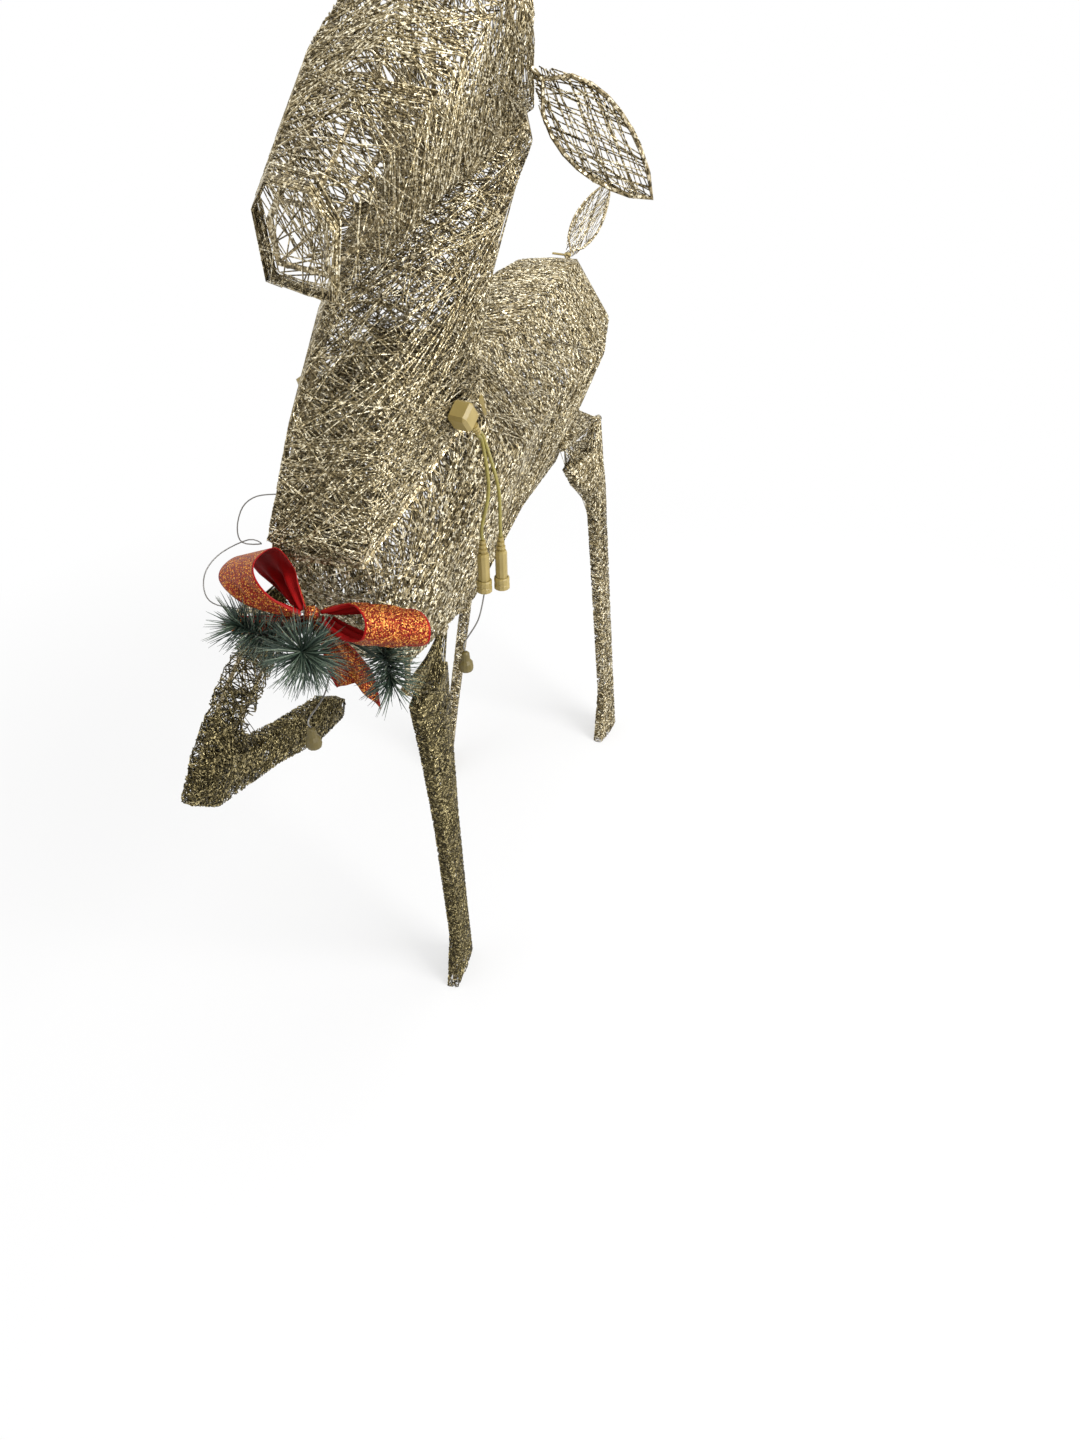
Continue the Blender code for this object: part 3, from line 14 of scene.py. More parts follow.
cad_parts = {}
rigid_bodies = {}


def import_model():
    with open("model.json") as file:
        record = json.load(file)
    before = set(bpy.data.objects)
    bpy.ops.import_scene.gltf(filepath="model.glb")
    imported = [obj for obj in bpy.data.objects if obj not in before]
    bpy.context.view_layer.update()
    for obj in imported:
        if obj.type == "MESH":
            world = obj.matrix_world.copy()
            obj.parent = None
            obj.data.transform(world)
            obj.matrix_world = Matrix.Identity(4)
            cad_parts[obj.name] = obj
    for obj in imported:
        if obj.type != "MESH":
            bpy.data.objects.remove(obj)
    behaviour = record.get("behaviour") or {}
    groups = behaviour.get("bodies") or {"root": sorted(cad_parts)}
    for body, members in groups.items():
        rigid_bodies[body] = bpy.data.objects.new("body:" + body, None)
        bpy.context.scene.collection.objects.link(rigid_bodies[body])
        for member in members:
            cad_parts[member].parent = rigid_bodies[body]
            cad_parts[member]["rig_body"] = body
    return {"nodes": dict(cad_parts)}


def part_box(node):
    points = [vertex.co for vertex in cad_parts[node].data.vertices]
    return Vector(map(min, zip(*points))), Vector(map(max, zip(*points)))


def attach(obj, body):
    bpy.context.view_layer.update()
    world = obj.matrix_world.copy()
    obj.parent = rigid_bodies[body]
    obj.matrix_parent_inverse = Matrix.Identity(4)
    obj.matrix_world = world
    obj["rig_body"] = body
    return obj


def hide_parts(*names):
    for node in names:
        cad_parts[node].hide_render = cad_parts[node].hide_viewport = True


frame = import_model()

Colour = tuple[float, float, float]
Place = tuple[float, float, float]
Span = tuple[float, float]
Stops = tuple[tuple[float, Colour], ...]
Values = dict[str | int, object]
Socket = bpy.types.NodeSocket

LOG = logging.getLogger("yard_deer")
SEED = 41
# The mesh attribute that holds the shade of each run of thread
SHADE = "shade"
# The camera's turn and lean in degrees, which the bow's own frame shares
VIEW_TURN = 14.2
VIEW_LEAN = 51.2
# The pitch in metres of a wave texture's bands at a scale of one
WAVE_PITCH = 0.314
RIBBON_WIDTH = 0.058
LEAD_WIDTH = 0.0036
TETHER_WIDTH = 0.0016
TIE_WIRE_WIDTH = 0.0012
WHITE = (1.0, 1.0, 1.0, 1.0)
UPRIGHT: Place = (0.0, 0.0, 1.0)
SIDEWAYS: Place = (1.0, 0.0, 0.0)
# What counts as nothing: a vector's length, the area at a taut thread's corner, a ribbon's width
NO_LENGTH = 1e-12
NO_CORNER = 1e-8
NO_WIDTH = 1e-4


class Body(Enum):
    """The moving bodies that visual pieces ride on."""

    TORSO = "torso"
    NECK = "neck_and_head"
    FORE_LEFT = "leg_fore_left"
    FORE_RIGHT = "leg_fore_right"
    HIND_LEFT = "leg_hind_left"
    HIND_RIGHT = "leg_hind_right"


class Slot(Enum):
    """The material slots of the record."""

    FRAME_WIRE = "frame_wire"
    THREAD = "glitter_thread"
    PLASTIC = "tan_plastic"
    LIGHTS = "light_string"
    CORD = "gold_cord"
    GREY_WIRE = "grey_wire"
    RIBBON = "ribbon"
    NEEDLES = "needles"


class Side(Enum):
    """The deer's or the bow's two sides."""

    LEFT = "left"
    RIGHT = "right"


class FarEnd(Enum):
    """What the far end of a cord holds."""

    CONNECTOR = "connector"
    FITTING = "fitting"
    OBJECT = "object"


class Stiffness(Enum):
    """How a cord bends."""

    MEDIUM = "medium"
    STIFF = "stiff"


class Lay(Enum):
    """How a cord lies."""

    HANGING = "hanging"
    LOOSE = "loose"


class Graph:
    """A material's shader nodes, added and joined in short calls."""

    def __init__(self, name: str) -> None:
        """Starts the material with an empty Principled surface.

        Args:
            name: The material's name.
        """
        self.material = bpy.data.materials.new(name)
        self.material.use_nodes = True
        self.tree = self.material.node_tree
        self.tree.nodes.clear()
        self.surface = self.add("BsdfPrincipled")
        self.out = self.add("OutputMaterial")
        self.join(self.surface.outputs[0], self.out.inputs[0])

    def add(self, kind: str, values: Values | None = None, **settings: object) -> bpy.types.Node:
        """Adds a node.

        Args:
            kind: The node type without its ShaderNode prefix.
            values: Values for inputs that stay unjoined.
            settings: The node's own properties.

        Returns:
            The new node.
        """
        node = self.tree.nodes.new("ShaderNode" + kind)
        for key, value in settings.items():
            setattr(node, key, value)
        for key, value in (values or {}).items():
            node.inputs[key].default_value = value
        return node

    def join(self, source: Socket, target: Socket) -> None:
        """Links an output to an input."""
        self.tree.links.new(source, target)

    def feed(self, name: str, source: Socket) -> None:
        """Links an output to the surface's input of that name."""
        self.join(source, self.surface.inputs[name])

    def set_surface(self, **values: object) -> None:
        """Sets constant values on the surface, with spaces written as underscores."""
        for key, value in values.items():
            self.surface.inputs[key.replace("_", " ")].default_value = value

    def place(self) -> Socket:
        """The point on the piece, in metres."""
        return self.add("TexCoord").outputs["Object"]

    def texture(self, kind: str, values: Values, **settings: object) -> bpy.types.Node:
        """Adds a texture that reads the point on the piece.

        Args:
            kind: The node type without its ShaderNode prefix.
            values: Values for inputs that stay unjoined.
            settings: The node's own properties.

        Returns:
            The texture's node.
        """
        node = self.add(kind, values, **settings)
        self.join(self.place(), node.inputs["Vector"])
        return node

    def flecks(self, size: float) -> Socket:
        """A colour that is random from cell to cell, for cells of a width in metres."""
        return self.texture("TexVoronoi", {"Scale": 1.0 / size}).outputs["Color"]

    def clouds(self, size: float, detail: float = 3.0) -> Socket:
        """Soft random shading from 0 to 1, for clouds of a width in metres and their finer layers."""
        return self.texture("TexNoise", {"Scale": 1.0 / size, "Detail": detail}).outputs["Fac"]

    def ramp(self, source: Socket, stops: Stops) -> Socket:
        """Colours a value.

        Args:
            source: The value from 0 to 1.
            stops: Places and their colours, in order.

        Returns:
            The colour.
        """
        node = self.add("ValToRGB")
        points = node.color_ramp.elements
        while len(points) < len(stops):
            points.new(0.5)
        for point, (at, colour) in zip(points, stops):
            point.position = at
            point.color = (*colour, 1.0)
        self.join(source, node.inputs["Fac"])
        return node.outputs["Color"]

    def spread(self, source: Socket, low: float, high: float) -> Socket:
        """Maps a value onto a range.

        Args:
            source: The value from 0 to 1.
            low: The start of the range.
            high: The end of the range.

        Returns:
            The mapped value.
        """
        node = self.add("MapRange", {"To Min": low, "To Max": high})
        self.join(source, node.inputs["Value"])
        return node.outputs["Result"]

    def raise_by(self, source: Socket, height: float) -> None:
        """Bumps the surface.

        Args:
            source: The height of each point, from 0 to 1.
            height: The greatest height in metres.
        """
        bump = self.add("Bump", {"Strength": 1.0, "Distance": height})
        self.join(source, bump.inputs["Height"])
        self.feed("Normal", bump.outputs["Normal"])

    def tilt_by(self, colour: Socket, amount: float) -> None:
        """Tilts the surface at random.

        Args:
            colour: A random colour, read as a direction.
            amount: How far the normal turns.
        """
        centred = self.add("VectorMath", {1: (0.5, 0.5, 0.5)}, operation="SUBTRACT")
        self.join(colour, centred.inputs[0])
        scaled = self.add("VectorMath", {"Scale": amount}, operation="SCALE")
        self.join(centred.outputs[0], scaled.inputs[0])
        added = self.add("VectorMath", operation="ADD")
        self.join(self.add("NewGeometry").outputs["Normal"], added.inputs[0])
        self.join(scaled.outputs[0], added.inputs[1])
        turned = self.add("VectorMath", operation="NORMALIZE")
        self.join(added.outputs[0], turned.inputs[0])
        self.feed("Normal", turned.outputs[0])


@dataclass(frozen=True, kw_only=True)
class Finish:
    """What every finish has.

    Attributes:
        name: The material's name.
        roughness: Low and high roughness.
        metal: How metallic it is.
    """

    name: str
    roughness: Span
    metal: float = 0.0

    def material(self) -> bpy.types.Material:
        """The material, made once.

        Returns:
            The material of this finish's name.
        """
        found = bpy.data.materials.get(self.name)
        if found:
            return found
        graph = Graph(self.name)
        self.mix(graph)
        return graph.material

    def mix(self, graph: Graph) -> None:
        """Sets what every finish has on the surface."""
        graph.set_surface(Metallic=self.metal)


@dataclass(frozen=True, kw_only=True)
class Coat(Finish):
    """A plain finish with a little shading and grain.

    Attributes:
        colour: The main colour.
        shade: A second colour that clouds into it.
        cloud: The size of the shading in metres.
        grain: The height of the fine grain in metres.
        pitch: The width of the fine grain in metres.
    """

    colour: Colour
    shade: Colour
    cloud: float = 0.012
    grain: float = 0.00004
    pitch: float = 0.0009

    def mix(self, graph: Graph) -> None:
        """Clouds the shade into the colour and adds the grain.

        Args:
            graph: The material's nodes.
        """
        super().mix(graph)
        clouds = graph.clouds(self.cloud)
        graph.feed("Base Color", graph.ramp(clouds, ((0.3, self.shade), (0.7, self.colour))))
        graph.feed("Roughness", graph.spread(clouds, *self.roughness))
        graph.raise_by(self.relief(graph), self.grain)

    def relief(self, graph: Graph) -> Socket:
        """The height of the grain, from 0 to 1."""
        return graph.clouds(self.pitch, detail=2.0)


@dataclass(frozen=True, kw_only=True)
class Satin(Coat):
    """Woven ribbon with a soft sheen, whose grain is the weave.

    Attributes:
        sheen: How strong the sheen is.
        sheen_roughness: How wide the sheen spreads.
        gloss: How strongly the surface mirrors.
        waver: How uneven the weave is.
    """

    sheen: float
    sheen_roughness: float = 0.4
    gloss: float = 0.12
    waver: float = 0.6

    def mix(self, graph: Graph) -> None:
        """Adds the sheen to the coat.

        Args:
            graph: The material's nodes.
        """
        super().mix(graph)
        graph.set_surface(Sheen_Weight=self.sheen, Sheen_Roughness=self.sheen_roughness)
        graph.set_surface(Specular_IOR_Level=self.gloss)

    def relief(self, graph: Graph) -> Socket:
        """The height of the weave, from 0 to 1."""
        values = {"Scale": WAVE_PITCH / self.pitch, "Distortion": self.waver}
        return graph.texture("TexWave", values, bands_direction="Z").outputs["Fac"]


@dataclass(frozen=True, kw_only=True)
class Glitter(Finish):
    """Foil flecks, each with its own shade and tilt.

    Attributes:
        stops: The shades of the flecks, from dark to bright, with their places.
        fleck: A fleck's width in metres.
        tilt: How far flecks turn from the surface.
    """

    stops: Stops
    fleck: float
    tilt: float

    def mix(self, graph: Graph) -> None:
        """Shades, roughens and tilts each fleck.

        Args:
            graph: The material's nodes.
        """
        super().mix(graph)
        flecks = graph.flecks(self.fleck)
        parts = graph.add("SeparateColor")
        graph.join(flecks, parts.inputs["Color"])
        graph.feed("Base Color", graph.ramp(self.level(graph, parts.outputs["Red"]), self.stops))
        graph.feed("Roughness", graph.spread(parts.outputs["Green"], *self.roughness))
        graph.tilt_by(flecks, self.tilt)

    def level(self, graph: Graph, chance: Socket) -> Socket:
        """Where a fleck lies among the shades: here by chance alone."""
        return chance


@dataclass(frozen=True, kw_only=True)
class RunGlitter(Glitter):
    """Foil thread or needles whose shade differs from run to run, with rare flecks brightened as painted
    highlights.

    Attributes:
        share: How much of the shade comes from the run; the rest comes from the painted highlight flecks.
        painted_glint: How rare the painted highlight flecks are.
    """

    share: float
    painted_glint: float

    def level(self, graph: Graph, chance: Socket) -> Socket:
        """Where a fleck lies among the shades, by its run and by chance, with a few flecks raised as painted
        highlights.

        Args:
            graph: The material's nodes.
            chance: A random value for each fleck.

        Returns:
            The place among the shades, from 0 to 1.
        """
        # Chance raised to a power keeps most flecks low and sends a few to the bright stops: highlights
        # painted into the base colour.
        painted_glints = graph.add("Math", {1: self.painted_glint}, operation="POWER")
        graph.join(chance, painted_glints.inputs[0])
        run = graph.add("Attribute", attribute_name=SHADE)
        level = graph.add("Math", {1: self.share}, operation="MULTIPLY_ADD")
        graph.join(run.outputs["Fac"], level.inputs[0])
        graph.join(graph.spread(painted_glints.outputs["Value"], 0.0, 1.0 - self.share), level.inputs[2])
        return level.outputs["Value"]


# The near-white top stop is a painted highlight that the brightest flecks reach; the run-to-run shade below
# it is random tone.
THREAD = RunGlitter(
    name="champagne glitter thread",
    roughness=(0.2, 0.5),
    metal=0.65,
    fleck=0.0017,
    tilt=0.9,
    share=0.36,
    painted_glint=1.8,
    stops=(
        (0.0, (0.033, 0.024, 0.009)),
        (0.22, (0.165, 0.124, 0.056)),
        (0.5, (0.49, 0.4, 0.22)),
        (0.8, (1.0, 0.92, 0.7)),
    ),
)
COARSE_THREAD = replace(THREAD, name="coarse glitter thread", fleck=0.003, share=0.25)
# The forelegs' thread: the same thread with darker stops, painted shade for the legs' shaded sides.
PAINTED_SHADE_LEG_THREAD = replace(
    THREAD,
    name="leg thread with painted shade",
    fleck=0.0019,
    share=0.3,
    painted_glint=2.0,
    stops=(
        (0.0, (0.012, 0.009, 0.002)),
        (0.22, (0.05, 0.038, 0.011)),
        (0.5, (0.16, 0.125, 0.045)),
        (0.8, (0.62, 0.52, 0.27)),
    ),
)
FRAME_WIRE = Glitter(
    name="glitter wrapped wire",
    roughness=(0.22, 0.5),
    metal=0.7,
    fleck=0.002,
    tilt=0.6,
    stops=(
        (0.0, (0.06, 0.045, 0.018)),
        (0.4, (0.22, 0.17, 0.085)),
        (0.7, (0.42, 0.335, 0.19)),
        (0.95, (0.86, 0.78, 0.58)),
    ),
)
PLASTIC = Coat(
    name="tan moulded plastic",
    colour=(0.38, 0.29, 0.098),
    shade=(0.33, 0.247, 0.077),
    roughness=(0.32, 0.46),
    grain=0.00003,
)
CAP_PLASTIC = replace(
    PLASTIC,
    name="olive moulded cap",
    colour=(0.15, 0.115, 0.03),
    shade=(0.12, 0.09, 0.022),
    roughness=(0.4, 0.55),
)
LIGHT_STRING = Coat(
    name="clear lamp string",
    colour=(0.6, 0.55, 0.42),
    shade=(0.42, 0.36, 0.24),
    roughness=(0.12, 0.3),
    metal=0.1,
)
CORD = Coat(
    name="olive gold cord",
    colour=(0.31, 0.265, 0.062),
    shade=(0.24, 0.2, 0.045),
    roughness=(0.28, 0.42),
)
GREY_WIRE = Coat(
    name="grey steel wire",
    colour=(0.3, 0.29, 0.27),
    shade=(0.2, 0.19, 0.18),
    roughness=(0.3, 0.45),
    metal=0.6,
)
# Mostly run-to-run tone; a small share is painted highlight flecks.
NEEDLES = RunGlitter(
    name="frosted pine needle",
    roughness=(0.35, 0.55),
    fleck=0.0014,
    tilt=0.1,
    share=0.85,
    painted_glint=4.0,
    stops=(
        (0.0, (0.007, 0.018, 0.012)),
        (0.45, (0.034, 0.064, 0.043)),
        (0.75, (0.125, 0.172, 0.118)),
        (0.95, (0.38, 0.42, 0.32)),
    ),
)
RIBBON_FACE = Glitter(
    name="orange glitter ribbon",
    roughness=(0.38, 0.6),
    metal=0.65,
    fleck=0.0009,
    tilt=0.9,
    stops=(
        (0.0, (0.09, 0.002, 0.002)),
        (0.4, (0.23, 0.009, 0.004)),
        (0.72, (0.37, 0.06, 0.009)),
        (0.95, (0.8, 0.4, 0.08)),
    ),
)
RIBBON_BACK = Satin(
    name="dark red satin",
    colour=(0.36, 0.004, 0.004),
    shade=(0.24, 0.003, 0.003),
    roughness=(0.6, 0.75),
    sheen=0.0,
)
RIBBON_EDGE = Satin(
    name="red wired edge",
    colour=(0.38, 0.008, 0.007),
    shade=(0.28, 0.005, 0.005),
    roughness=(0.3, 0.42),
    sheen=0.04,
)
# The finishes of a ribbon's face and of its edge, each followed by the finish of the back behind it
RIBBON_FINISHES = (RIBBON_FACE, RIBBON_BACK, RIBBON_EDGE, RIBBON_EDGE)
FACE_BAND = 0
EDGE_BAND = 2

SLOT_FINISHES: dict[Slot, Finish] = {
    Slot.FRAME_WIRE: FRAME_WIRE,
    Slot.THREAD: FRAME_WIRE,
    Slot.PLASTIC: PLASTIC,
    Slot.LIGHTS: LIGHT_STRING,
    Slot.CORD: CORD,
    Slot.GREY_WIRE: GREY_WIRE,
    Slot.RIBBON: RIBBON_FACE,
    Slot.NEEDLES: NEEDLES,
}


def unit(vectors: np.ndarray) -> np.ndarray:
    """The vectors at length one, row by row."""
    length = np.linalg.norm(vectors, axis=-1, keepdims=True)
    return vectors / np.maximum(length, NO_LENGTH)


def square_to(way: np.ndarray) -> np.ndarray:
    """A direction at right angles to another."""
    helper = np.eye(3)[int(np.argmin(np.abs(way)))]
    return unit(np.cross(way, helper))


def tight_outline(flat: np.ndarray) -> list[int]:
    """The corners that a taut thread would touch.

    Args:
        flat: Points in a plane, one row each.

    Returns:
        The rows of the convex outline, in order round it.
    """
    order = np.lexsort((flat[:, 1], flat[:, 0]))
    halves: list[list[int]] = []
    for rows in (order, order[::-1]):
        chain: list[int] = []
        for row in rows:
            while len(chain) > 1:
                a, b, c = flat[chain[-2]], flat[chain[-1]], flat[row]
                if (b[0] - a[0]) * (c[1] - a[1]) - (b[1] - a[1]) * (c[0] - a[0]) > NO_CORNER:
                    break
                chain.pop()
            chain.append(int(row))
        halves.append(chain[:-1])
    return halves[0] + halves[1]


def smooth_route(points: Sequence[Place], steps: int = 8) -> np.ndarray:
    """A smooth line through points.

    Args:
        points: The points that the line passes.
        steps: How many pieces lie between two points.

    Returns:
        The line's points, one row each.
    """
    knots = np.array([points[0], *points, points[-1]], float)
    line = [knots[1]]
    for k in range(1, len(points)):
        a, b, c, d = knots[k - 1 : k + 3]
        for t in np.linspace(0, 1, steps + 1)[1:]:
            bend = (2 * a - 5 * b + 4 * c - d) * t + (3 * b - a - 3 * c + d) * t * t
            line.append(b + 0.5 * t * (c - a + bend))
    return np.array(line)


def points_and_edges(name: str) -> tuple[np.ndarray, np.ndarray]:
    """Reads a CAD node's mesh.

    Args:
        name: The node's name.

    Returns:
        Its vertices, and the two vertex rows of each edge.
    """
    mesh = frame["nodes"][name].data
    points = np.array([v.co for v in mesh.vertices], float)
    return points, np.array([e.vertices for e in mesh.edges], int)


def add_object(name: str, data: bpy.types.ID) -> bpy.types.Object:
    """Puts a new object in the scene.

    Args:
        name: The object's name.
        data: Its mesh, light or camera.

    Returns:
        The object.
    """
    made = bpy.data.objects.new(name, data)
    bpy.context.scene.collection.objects.link(made)
    return made


def show(mesh: bpy.types.Mesh, body: Body, finishes: Iterable[Finish]) -> bpy.types.Object:
    """Puts a mesh in the scene as a piece of the deer.

    Args:
        mesh: The finished mesh, in the row frame.
        body: The body it moves with.
        finishes: Its materials, in the order of the faces' indices.

    Returns:
        The new object.
    """
    for finish in finishes:
        mesh.materials.append(finish.material())
    piece = add_object(mesh.name, mesh)
    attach(piece, body.value)
    return piece


def mesh_of(name: str, points: np.ndarray, faces: Sequence[Sequence[int]]) -> bpy.types.Mesh:
    """A mesh from points and faces, shaded smooth.

    Args:
        name: The mesh's name.
        points: The vertices, one row each.
        faces: The corner rows of each face.

    Returns:
        The mesh.
    """
    mesh = bpy.data.meshes.new(name)
    mesh.from_pydata([tuple(p) for p in points], [], [tuple(map(int, f)) for f in faces])
    mesh.polygons.foreach_set("use_smooth", [True] * len(mesh.polygons))
    mesh.update()
    return mesh


@dataclass
class Strands:
    """Many thin runs of thread, gathered into one mesh.

    Attributes:
        radius: The thread's radius in metres.
        sides: How many sides each run has.
        points: The vertices so far.
        faces: The faces so far.
        shades: The shade of each vertex, from 0 to 1.
        count: How many vertices there are.
    """

    radius: float
    sides: int = 3
    points: list[np.ndarray] = field(default_factory=list)
    faces: list[list[int]] = field(default_factory=list)
    shades: list[float] = field(default_factory=list)
    count: int = 0

    def add(
        self, line: np.ndarray, closed: bool, taper: Sequence[float] | None = None, shade: float = 0.5
    ) -> None:
        """Adds one run.

        Args:
            line: The points it follows.
            closed: Whether its end joins its start.
            taper: The share of the radius at each point, if it isn't even.
            shade: How bright the run is, from 0 to 1.
        """
        n, s = len(line), self.sides
        if closed:
            way = unit(np.roll(line, -1, axis=0) - np.roll(line, 1, axis=0))
        else:
            way = unit(np.gradient(line, axis=0))
        out = line - line.mean(axis=0) if closed else np.tile(square_to(way[0]), (n, 1))
        out = out - way * np.sum(out * way, axis=1, keepdims=True)
        out = unit(out)
        side = np.cross(way, out)
        turn = np.arange(s) * (2 * math.pi / s)
        wide = self.radius * (np.ones(n) if taper is None else np.array(taper))[:, None, None]
        ring = np.cos(turn)[None, :, None] * out[:, None] + np.sin(turn)[None, :, None] * side[:, None]
        self.points.append((line[:, None] + wide * ring).reshape(-1, 3))
        for i in range(n if closed else n - 1):
            here, there = self.count + i * s, self.count + (i + 1) % n * s
            for k in range(s):
                m = (k + 1) % s
                self.faces.append([here + k, here + m, there + m, there + k])
        if not closed:
            last = self.count + (n - 1) * s
            self.faces.append([self.count + k for k in reversed(range(s))])
            self.faces.append([last + k for k in range(s)])
        self.shades += [shade] * (n * s)
        self.count += n * s

    def mesh(self, name: str) -> bpy.types.Mesh:
        """The runs as one mesh, with their shades.

        Args:
            name: The mesh's name.

        Returns:
            The mesh.
        """
        mesh = mesh_of(name, np.concatenate(self.points), self.faces)
        mesh.attributes.new(SHADE, "FLOAT", "POINT").data.foreach_set("value", self.shades)
        return mesh


class Wind(Enum):
    """How thread goes round a section."""

    ALONG = "round one line through the section"
    LIMB = "round the nearest rods of a bent limb"


@dataclass
class Section:
    """What thread is wound round, as the frame gives it.

    Attributes:
        points: The vertices of the skin and of the rods under it.
        edges: The two vertex rows of each edge.
        corners: The vertex rows of each face of the skin.
        areas: The areas of those faces.
        way: The line that the thread goes round.
        marks: Stations along that line.
        middles: The section's middle at each station.
    """

    points: np.ndarray
    edges: np.ndarray
    corners: np.ndarray
    areas: np.ndarray
    way: np.ndarray
    marks: np.ndarray
    middles: np.ndarray


@dataclass
class Winding:
    """Glitter thread wound round one section of the frame.

    Attributes:
        name: The piece's name.
        skin: The CAD node that bounds the thread.
        body: The body it rides on.
        cover: The thread's area over the skin's.
        tilt: The most a turn leans, in degrees.
        axis: The line it is wound round, or none for the section's longest direction.
        wind: How it goes round.
        reach: How far a turn goes from where it starts.
        thread: The thread's diameter.
        depth: How deep the layers lie.
        over: The CAD nodes, such as rods, that the thread also goes over.
        span: The share of the axis that it covers, from its start to its end.
        gaps: Places where most turns are left out, each with its radius.
        left_out: The share of turns that are left out there.
        keeps_skin: Whether the CAD node stays under the thread.
        finish: The thread's finish.
        least_lean: The least a turn leans, as a share of the most.
        stations: How many stations its middle line has.
        window: How far a station looks for points, as a share of the stations' spacing.
        most_turns: How many turns are tried at most.
    """

    name: str
    skin: str
    body: Body
    cover: float
    tilt: float = 58.0
    axis: Place | None = None
    wind: Wind = Wind.ALONG
    reach: float = 9.0
    thread: float = 0.0013
    depth: float = 0.003
    over: tuple[str, ...] = ()
    span: Span = (0.0, 1.0)
    gaps: tuple[tuple[Place, float], ...] = ()
    left_out: float = 0.85
    keeps_skin: bool = False
    finish: RunGlitter = THREAD
    least_lean: float = 0.25
    stations: int = 13
    window: float = 0.75
    most_turns: int = 40000

    def read_section(self) -> Section:
        """Takes the section from the frame.

        Returns:
            Its points, edges and faces, and its middle line.
        """
        points, edges = points_and_edges(self.skin)
        corners = np.array([p.vertices[:3] for p in frame["nodes"][self.skin].data.polygons], int)
        for name in self.over:
            rods, links = points_and_edges(name)
            edges = np.concatenate((edges, links + len(points)))
            points = np.concatenate((points, rods))
        a, b, c = points[corners].transpose(1, 0, 2)
        areas = np.linalg.norm(np.cross(b - a, c - a), axis=1) / 2
        whole = points.mean(axis=0)
        longest = np.linalg.svd(points - whole, full_matrices=False)[2][0]
        way = unit(np.array(self.axis, float)) if self.axis else longest
        along = points @ way
        ends = (along.min() + share * np.ptp(along) for share in self.span)
        marks = np.linspace(*ends, self.stations)
        near = [points[np.abs(along - m) <= self.window * (marks[1] - marks[0])] for m in marks]
        middles = np.array([n.mean(axis=0) if len(n) else whole for n in near])
        return Section(points, edges, corners, areas, way, marks, middles)

    def start(self, section: Section, rng: np.random.Generator) -> tuple[np.ndarray, np.ndarray]:
        """Where a turn starts.

        Args:
            section: What it is wound round.
            rng: The random source.

        Returns:
            The point and the direction that the turn goes round.
        """
        if self.wind is Wind.LIMB:
            row = rng.choice(len(section.corners), p=section.areas / section.areas.sum())
            spans = section.points[section.corners[row]]
            shares = rng.dirichlet((1.0, 1.0, 1.0))
            sides = spans - np.roll(spans, 1, axis=0)
            longest = sides[int(np.argmax(np.linalg.norm(sides, axis=1)))]
            return shares @ spans, unit(longest)
        first, last = section.marks[[0, -1]]
        at = first + (last - first) * rng.random()
        base = np.array([np.interp(at, section.marks, column) for column in section.middles.T])
        return base + section.way * (at - base @ section.way), section.way

    def turn(self, section: Section, rng: np.random.Generator) -> np.ndarray | None:
        """One turn of thread, taut round the section where a leaning plane cuts it.

        Args:
            section: What it is wound round.
            rng: The random source.

        Returns:
            Its corners, clear of the floor, or none where the plane misses.
        """
        base, way = self.start(section, rng)
        lean = math.radians(self.tilt) * rng.uniform(self.least_lean, 1) * rng.choice((-1, 1))
        aside = square_to(way)
        spin = rng.uniform(0, math.pi)
        aside = aside * math.cos(spin) + np.cross(way, aside) * math.sin(spin)
        normal = way * math.cos(lean) + aside * math.sin(lean)
        side = (section.points - base) @ normal
        a, b = section.edges.T
        cut = side[a] * side[b] < 0
        a, b = a[cut], b[cut]
        share = (side[a] / (side[a] - side[b]))[:, None]
        hits = section.points[a] * (1 - share) + section.points[b] * share
        hits = hits[np.linalg.norm(hits - base, axis=1) < self.reach]
        if len(hits) < 3:
            return None
        across = square_to(normal)
        flat = np.stack((hits @ across, hits @ np.cross(normal, across)), axis=1)
        loop = hits[tight_outline(flat)]
        if len(loop) < 3 or self.skips(loop, rng):
            return None
        inward = unit(loop.mean(axis=0) - loop)
        loop = loop + inward * rng.random() ** 2 * self.depth
        loop[:, 2] = np.maximum(loop[:, 2], self.thread / 2)
        return loop

    def skips(self, loop: np.ndarray, rng: np.random.Generator) -> bool:
        """Whether a turn is left out because it crosses a gap.

        Args:
            loop: The turn's corners.
            rng: The random source.

        Returns:
            True where it is left out.
        """
        runs = np.roll(loop, -1, axis=0) - loop
        for at, radius in self.gaps:
            share = np.sum((np.array(at) - loop) * runs, axis=1) / np.sum(runs * runs, axis=1)
            nearest = loop + runs * np.clip(share, 0, 1)[:, None]
            if np.linalg.norm(nearest - at, axis=1).min() < radius:
                return rng.random() < self.left_out
        return False

    def build(self, rng: np.random.Generator) -> bpy.types.Object:
        """Winds the section until it is covered.

        Args:
            rng: The random source.

        Returns:
            The piece.
        """
        section = self.read_section()
        wanted = self.cover * (self.span[1] - self.span[0]) * section.areas.sum() / 2 / self.thread
        strands = Strands(self.thread / 2)
        run = 0.0
        for _ in range(self.most_turns):
            loop = self.turn(section, rng)
            if loop is None:
                continue
            strands.add(loop, closed=True, shade=rng.random())
            run += np.linalg.norm(loop - np.roll(loop, 1, axis=0), axis=1).sum()
            if run > wanted:
                break
        piece = show(strands.mesh(self.name), self.body, [self.finish])
        if not self.keeps_skin:
            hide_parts(self.skin)
        LOG.info("%s: %.0f m of thread, %d faces", self.name, run, len(piece.data.polygons))
        return piece


